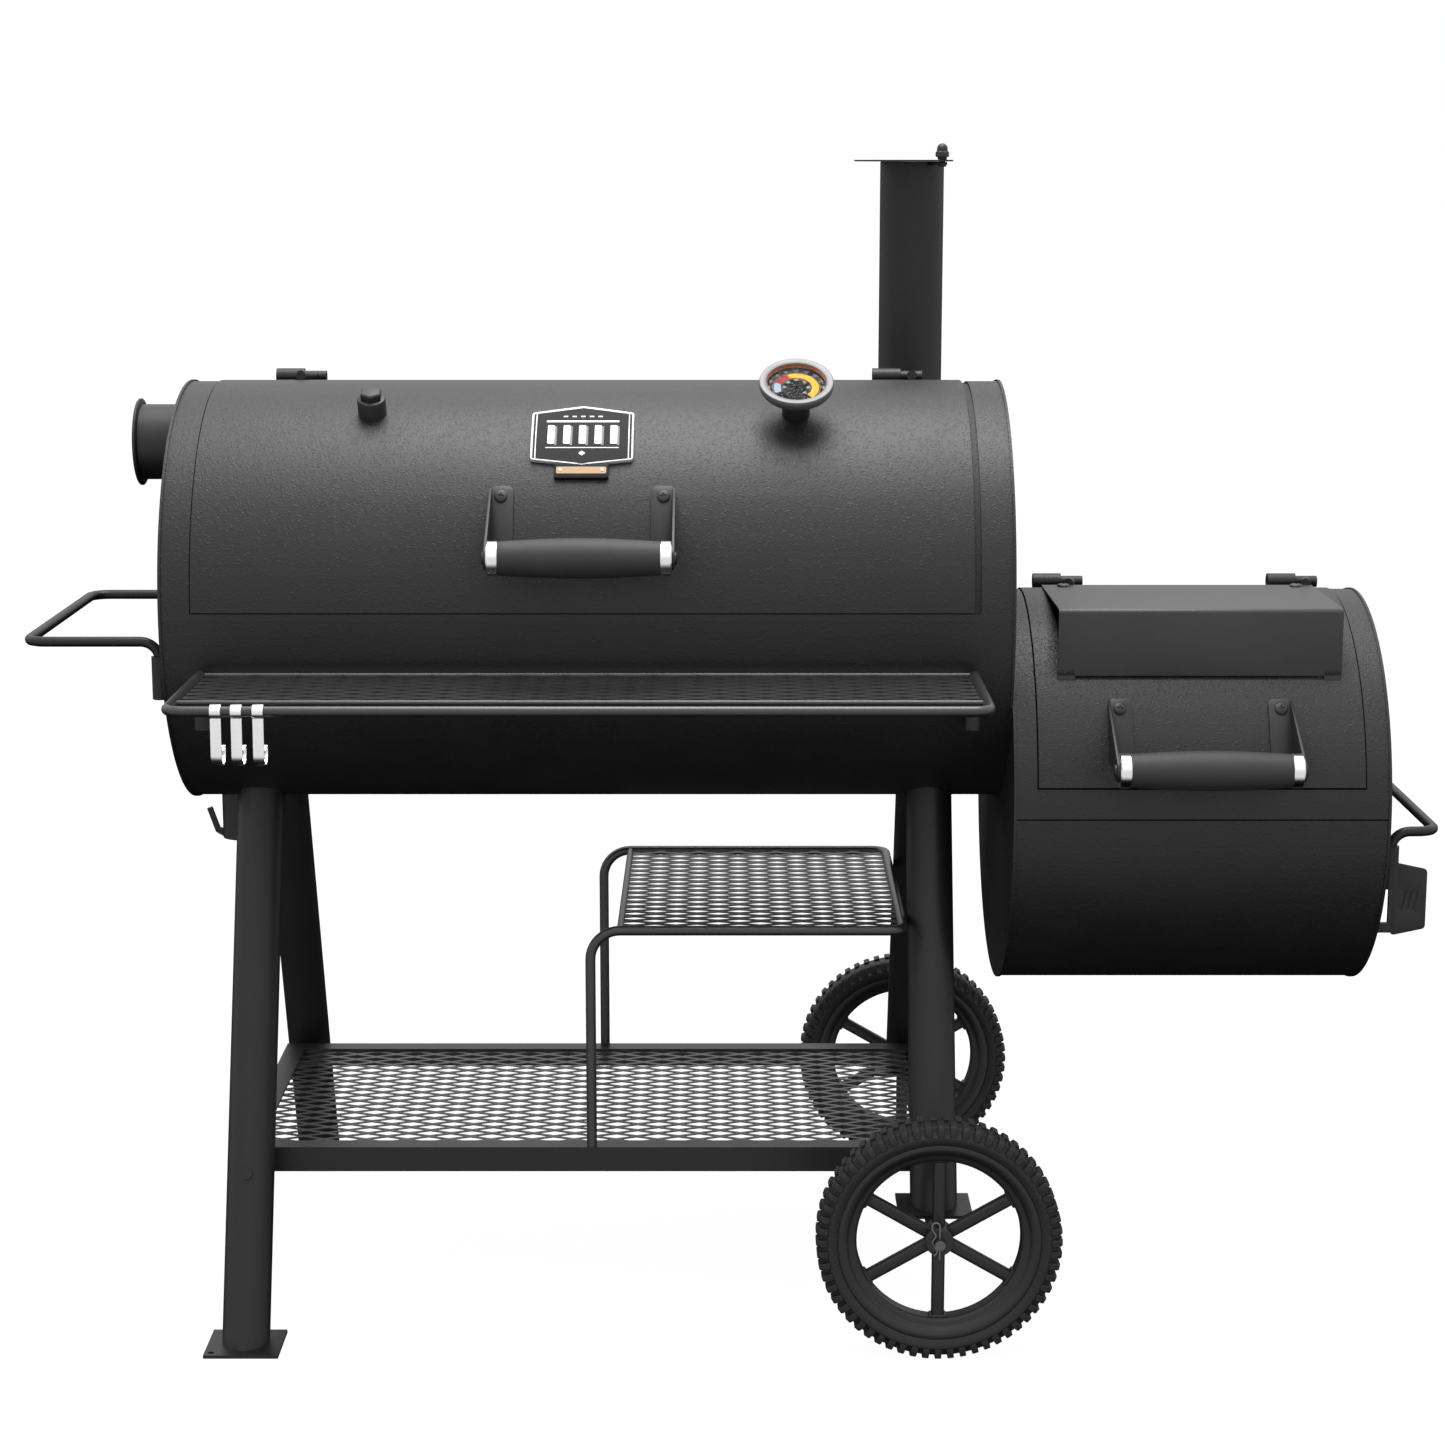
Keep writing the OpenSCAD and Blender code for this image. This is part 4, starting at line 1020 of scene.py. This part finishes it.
def makeBadge():
    x = middle("badge_plate").x - badge["left"]

    def put(pieces, name, slot, material, stands=(), angle=35):
        piece = joinPieces(pieces, name)
        sliceUp(piece, 5 * mm)
        layOnShell(piece, barrelAxis, x, barrelLidRadius, badge["angle"])
        finishPiece(piece, "barrel_lid", material, stands, angle)

    rim = flat("rim", softShape(badgeShape, 3.5), 0, badge["thick"])
    edit(rim)
    pick(lambda face: face.normal.z > 0.9)
    bpy.ops.mesh.inset(thickness=badge["rim"])
    bpy.ops.transform.translate(value=(0, 0, -badge["sink"]))
    stopEdit()
    roundEdges(rim, 0.5 * mm, 2, 50)
    put([rim], "badge_rim", "badge", badgeSilver, ["badge_plate"])
    floor = badge["thick"] - badge["sink"]
    inner = [(a * 0.961, b * 0.951) for a, b in badgeShape]
    put([flat("panel", softShape(inner, 2), floor - 0.5 * mm, 0.7 * mm)], "badge_panel", "badge", badgeGrey)
    bars = [flat("bar", oblong(side * 56.4, -38.6, side * 54.2, 33), floor, 0.4 * mm) for side in (-1, 1)]
    put(bars, "badge_side_bars", "badge", blackGloss)
    x0, x1 = badge["lineX"] - 0.6, badge["lineX"] + 0.6
    lines = [flat("line", oblong(side * x0, -39.5, side * x1, 34), floor, 0.7 * mm) for side in (-1, 1)]
    put(lines, "badge_side_lines", "badge", badgeSilver)
    starts = [18 * k - 40 for k in range(5)]
    emblem = [flat("bar", softShape(oblong(a, -18, a + 8, 12), 1.5), floor, 0.7 * mm) for a in starts]
    emblem.append(flat("line", softShape(oblong(-42, 17.5, 42, 20.5), 1.2), floor, 0.7 * mm))
    emblem.append(flat("line", oblong(-42, -24.5, 42, -23.3), floor, 0.7 * mm))
    for k in range(5):
        emblem.append(flat("dash", oblong(-22.5 + 10 * k, 27, -17.5 + 10 * k, 29.2), floor, 0.7 * mm))
    emblem.append(flat("diamond", [(-4, -32), (0, -35.5), (4, -32), (0, -28.5)], floor, 0.7 * mm))
    put(emblem, "badge_emblem", "badge", badgeWhite)
    edges = [flat("bar", softShape(oblong(a + 7.6, -20, a + 10.6, 10.5), 1), floor, 0.45 * mm) for a in starts]
    put(edges, "badge_emblem_edge", "badge", badgeLight)
    tag = flat("tag", softShape(oblong(-31, -66, 31, -46), 2.5), 0, 5.0 * mm, 0.5 * mm)
    put([tag], "badge_tag", "badge", blackGloss)
    tagPlate = flat("tagPlate", softShape(oblong(-28.5, -60.5, 28.5, -51.5), 1.5), 4.6 * mm, 0.9 * mm)
    put([tagPlate], "badge_tag_plate", "badge", tagBrass)
    rivets = []
    for side in (-1, 1):
        rivet = lathe("rivet", [(0, 5.3 * mm), (2.3 * mm, 5.3 * mm), (2.0 * mm, 6.0 * mm), (1.0 * mm, 6.4 * mm),
                                (0, 6.45 * mm)], 20)
        rivets.append(settle(rivet, place=(side * 24 * mm, -56 * mm, 0)))
    put(rivets, "badge_rivets", "badge", badgeSilver)


makeBadge()
print("badge made")


# flue port on the left end: collar and its slide-in cap
def makePort():
    collarLow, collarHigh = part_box("port_collar")
    capLow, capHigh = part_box("port_cap")
    r = (collarHigh.z - collarLow.z) / 2
    long = collarHigh.x - collarLow.x
    at = middle("port_collar")
    wall = 3 * mm
    tube = lathe("tube", [(r - wall, 0), (r - 0.6 * mm, 0), (r, 0.6 * mm), (r, long), (r - wall, long)], 72,
                 closed=True)
    stand(tube, Matrix.Translation((collarLow.x, at.y, at.z)) @ turnToX)
    tube.name = "port_collar_tube"
    finishPiece(tube, "root", smoothPaint, ["port_collar"])
    big = (capHigh.z - capLow.z) / 2
    deep = capHigh.x - capLow.x
    inner = r - wall - 1 * mm
    cap = lathe("cap", [(0, 0.8 * mm), (big - 8 * mm, 0.8 * mm), (big - 7 * mm, 0), (big - 1.4 * mm, 0),
                        (big, 1.2 * mm), (big, 3.2 * mm), (big - 1 * mm, 4 * mm), (inner, 4.1 * mm),
                        (inner, deep - 0.6 * mm), (inner - 0.6 * mm, deep), (inner - wall, deep),
                        (inner - wall, 4 * mm), (0, 4 * mm)], 72)
    stand(cap, Matrix.Translation((capLow.x, at.y, at.z)) @ turnToX)
    cap.name = "port_cap_disc"
    finishPiece(cap, "port_plug", smoothPaint, ["port_cap"])


makePort()
print("port made")


# chimney pipe with the small ear that carries the damper
chimney = dict(wall=3 * mm, ear=4 * mm, earRound=6.5 * mm, earGap=0.2 * mm)


def makeChimneyTop():
    low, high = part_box("chimney_pipe")
    pivot = middle("damper_bolt")
    r = sizeOf("chimney_elbow").x / 2
    inner = r - chimney["wall"]
    x, y = middle("chimney_elbow").x, high.y - r
    tube = lathe("tube", [(inner, low.z), (r, low.z), (r, high.z - 0.8 * mm), (r - 0.8 * mm, high.z),
                          (inner + 0.6 * mm, high.z), (inner, high.z - 0.6 * mm)], 96, closed=True)
    settle(tube, place=(x, y, 0))
    root, tip, half = r - 3.2 * mm, math.dist((x, y), (pivot.x, pivot.y)), chimney["earRound"]
    ear = plate("ear", [(root, half), (root, -half)] + arc((tip, 0), half, -90, 90, 14), chimney["ear"])
    roundEdges(ear, 0.7 * mm, 2, 50)
    settle(ear, place=(x, y, high.z - chimney["ear"] - chimney["earGap"]),
           turn=(0, 0, math.atan2(pivot.y - y, pivot.x - x)))
    finishPiece(joinPieces([tube, ear], "chimney_tube"), "root", framePaint, ["chimney_pipe"])


# damper's bolt: head under the ear, shank, one loose coil as a spring washer, acorn nut
acorn = dict(shank=3.9 * mm, head=5.5 * mm, coil=5.2 * mm, wire=0.9 * mm, turns=2.5, hexRadius=8.6 * mm,
             hexHigh=7.4 * mm, domeRadius=6.9 * mm, crown=0.35)


def makeAcornBolt():
    pivot = middle("damper_bolt")
    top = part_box("damper_bolt")[1].z
    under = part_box("chimney_pipe")[1].z - chimney["ear"]
    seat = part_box("chimney_damper")[1].z
    head, b = acorn["head"], acorn["shank"]
    shank = lathe("shank", [(0, under - 2.4 * mm), (head - 1 * mm, under - 2.4 * mm), (head, under - 1.6 * mm),
                            (head, under - 0.3 * mm), (b, under - 0.3 * mm), (b, seat + 4 * mm),
                            (0, seat + 4 * mm)], 32)
    coil = []
    for k in range(61):
        turn = 2 * math.pi * acorn["turns"] * k / 60
        coil.append(Vector((acorn["coil"] * math.cos(turn), acorn["coil"] * math.sin(turn),
                            seat + (0.8 + 2.2 * k / 60) * mm)))
    spring = bendRod("spring", coil, acorn["wire"])
    foot, hexRadius = seat + 3.4 * mm, acorn["hexRadius"]
    shoulder = foot + acorn["hexHigh"]
    nut = lathe("nut", [(0, foot), (hexRadius - 1 * mm, foot), (hexRadius, foot + 0.8 * mm),
                        (hexRadius, shoulder - 1 * mm), (hexRadius - 1.2 * mm, shoulder), (0, shoulder)], 6)
    dome, crown, start = acorn["domeRadius"], acorn["crown"], shoulder - 0.4 * mm
    rise = top - start
    curve = [(dome * math.cos(t), start + rise * (crown + (1 - crown) * math.sin(t)))
             for t in [math.radians(a) for a in (0, 20, 40, 60, 78)]]
    cap = lathe("cap", [(0, start), (dome, start)] + curve + [(0, top)], 32)
    parts = [settle(part, place=(pivot.x, pivot.y, 0)) for part in (shank, spring, nut, cap)]
    finishPiece(joinPieces(parts, "damper_acorn_bolt"), "root", smoothPaint,
                ["damper_bolt"], 30)


makeChimneyTop()
makeAcornBolt()
print("chimney made")


# warming plate: one bent sheet with tabs down to the lid, and its two screws
def makeWarmingPlate():
    low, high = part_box("warming_plate")
    sheet, lip = 2.5 * mm, 76.5 * mm
    top = high.z - 3.5 * mm - sheet / 2
    front = low.y + sheet / 2
    points = roundPath([(0, high.y, top), (0, front, top), (0, front, top - lip)], 4 * mm, 6)
    piece = startPoint("fold", points[0])
    drawLine(points)
    selectAll()
    bpy.ops.mesh.extrude_region_move(TRANSFORM_OT_translate={"value": (high.x - low.x, 0, 0)})
    tidyNormals()
    stopEdit()
    useModifier(piece, "SOLIDIFY", thickness=sheet, offset=0)
    roundEdges(piece, 0.5 * mm, 2, 60)
    settle(piece, place=(low.x, 0, 0))
    parts = [piece]
    for x in (low.x + 10 * mm, high.x - 10 * mm):
        tab = makeBar(20 * mm, sheet, 14 * mm, 0.6 * mm)
        parts.append(settle(tab, place=(x, front, low.z + 7 * mm)))
    for x in (low.x + 25 * mm, high.x - 21 * mm):
        head = copyOf(screwHead, "head")
        parts.append(settle(head, place=(x, high.y - 12 * mm, top + sheet / 2)))
    # the sheet carries the lightened plate paint, a painted highlight on its top
    finishPiece(joinPieces(parts, "warming_plate_sheet"), "firebox_lid", platePaintLightenedAsPaintedHighlight,
                ["warming_plate"])


makeWarmingPlate()
bpy.data.objects.remove(screwHead)
print("warming plate made")


# side door's grab plate on its strap
grab = dict(sheet=3 * mm, strapWide=6 * mm, groove=2.4, grooveLong=22, grooveDeep=1.0 * mm)


def makeGrab():
    low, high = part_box("side_door_handle")
    left = low.x
    out = high.x - 41 * mm
    bottom, topEdge = low.z + 4 * mm, low.z + 82 * mm
    shape = [(left, bottom), (out, bottom), (out, topEdge), (left, topEdge), (left, topEdge - 12 * mm),
             (out - 4 * mm, topEdge - 12 * mm), (out - 4 * mm, bottom + 12 * mm), (left, bottom + 12 * mm)]
    strap = plate("strap", shape, grab["strapWide"])
    roundEdges(strap, 0.7 * mm, 2, 50)
    y = high.y
    stand(strap, Matrix.Translation((0, y, 0)) @ Matrix.Rotation(math.pi / 2, 4, "X"))
    w = (high.x - out) / mm
    outline = [(-1, -43), (w, -34), (w, 38), (-1, 47)]
    leaf = plate("leaf", inMm(softShape(outline, 5)), grab["sheet"])
    a, b = grab["groove"] / 2, grab["grooveLong"] / 2
    for k in (-1, 0, 1):
        groove = plate("groove", inMm(softShape(oblong(-a, -b, a, b), 1.1)), 3 * mm)
        settle(groove, place=((w / 2 + 7 * k) * mm, 0, grab["sheet"] - grab["grooveDeep"]),
               turn=(0, 0, math.radians(-12)))
        useModifier(leaf, "BOOLEAN", object=groove, operation="DIFFERENCE", solver="EXACT")
        bpy.data.objects.remove(groove)
    roundEdges(leaf, 0.4 * mm, 2, 50)
    centre = (low.z + high.z) / 2
    stand(leaf, Matrix.Translation((out, y - 1.5 * mm, centre)) @ Matrix.Rotation(math.pi / 2, 4, "X"))
    finishPiece(joinPieces([strap, leaf], "door_grab_plate"), "door", smoothPaint,
                ["side_door_handle"], 30)


makeGrab()
print("grab plate made")


# studio: white floor and surround, an even dome, one wide softbox overhead
studio = dict(dome=0.86, lean=0.45, sky=0.9, softbox=88, softboxSize=1.8, softboxPlace=(0, 0.1, 3.4),
              floorSize=120, floorShade=0.06, floorGlow=0.96, lens=73.08, cameraDip=10.99,
              cameraPlace=(-0.0115, -3.47005, 1.358))


def makeWorld():
    world = bpy.data.worlds.new("studio")
    bpy.context.scene.world = world
    world.use_nodes = True
    tree = world.node_tree
    background = tree.nodes["Background"]
    start = Wire(tree, tree.nodes.new("ShaderNodeTexCoord").outputs["Generated"])
    depth = start.node("SeparateXYZ", {}, {0: start}, 1)
    height = start.node("SeparateXYZ", {}, {0: start}, 2)
    seen = start.node("LightPath", {}, {}, "Is Camera Ray")
    sides = (height - depth * studio["lean"]).between(-0.60, -0.05) * studio["dome"]
    dome = sides * (height.between(0.05, 0.8) * studio["sky"] + 1.0)
    level = start.node("Math", {"operation": "MAXIMUM"}, {0: dome, 1: seen})
    background.inputs["Color"].default_value = (1, 1, 1, 1)
    tree.links.new(level.socket, background.inputs["Strength"])


def makeFloor():
    deselectAll()
    bpy.ops.mesh.primitive_plane_add(size=studio["floorSize"], location=(0, 0, 0))
    floor = bpy.context.object
    floor.name = "floor"
    floor.visible_diffuse = False
    floor.visible_glossy = False
    floor.visible_shadow = False
    material = bpy.data.materials.new("pale floor")
    material.use_nodes = True
    tree = material.node_tree
    shader = tree.nodes["Principled BSDF"]
    shader.inputs["Base Color"].default_value = (studio["floorShade"],) * 3 + (1,)
    shader.inputs["Roughness"].default_value = 1
    shader.inputs["Specular IOR Level"].default_value = 0
    shader.inputs["Emission Color"].default_value = (1, 1, 1, 1)
    shader.inputs["Emission Strength"].default_value = studio["floorGlow"]
    floor.data.materials.append(material)


def makeLights():
    light = bpy.data.lights.new("softbox", "AREA")
    light.size = studio["softboxSize"]
    light.energy = studio["softbox"]
    lamp = bpy.data.objects.new("softbox", light)
    lamp.location = studio["softboxPlace"]
    bpy.context.scene.collection.objects.link(lamp)


def makeCamera():
    camera = bpy.data.cameras.new("camera")
    camera.lens = studio["lens"]
    camera.sensor_width = 36
    camera.clip_end = 200
    tripod = bpy.data.objects.new("camera", camera)
    tripod.location = studio["cameraPlace"]
    tripod.rotation_euler = (math.radians(90 - studio["cameraDip"]), 0, 0)
    bpy.context.scene.collection.objects.link(tripod)
    bpy.context.scene.camera = tripod


makeWorld()
makeFloor()
makeLights()
makeCamera()
bpy.context.scene.view_settings.view_transform = "Standard"
print("studio ready")
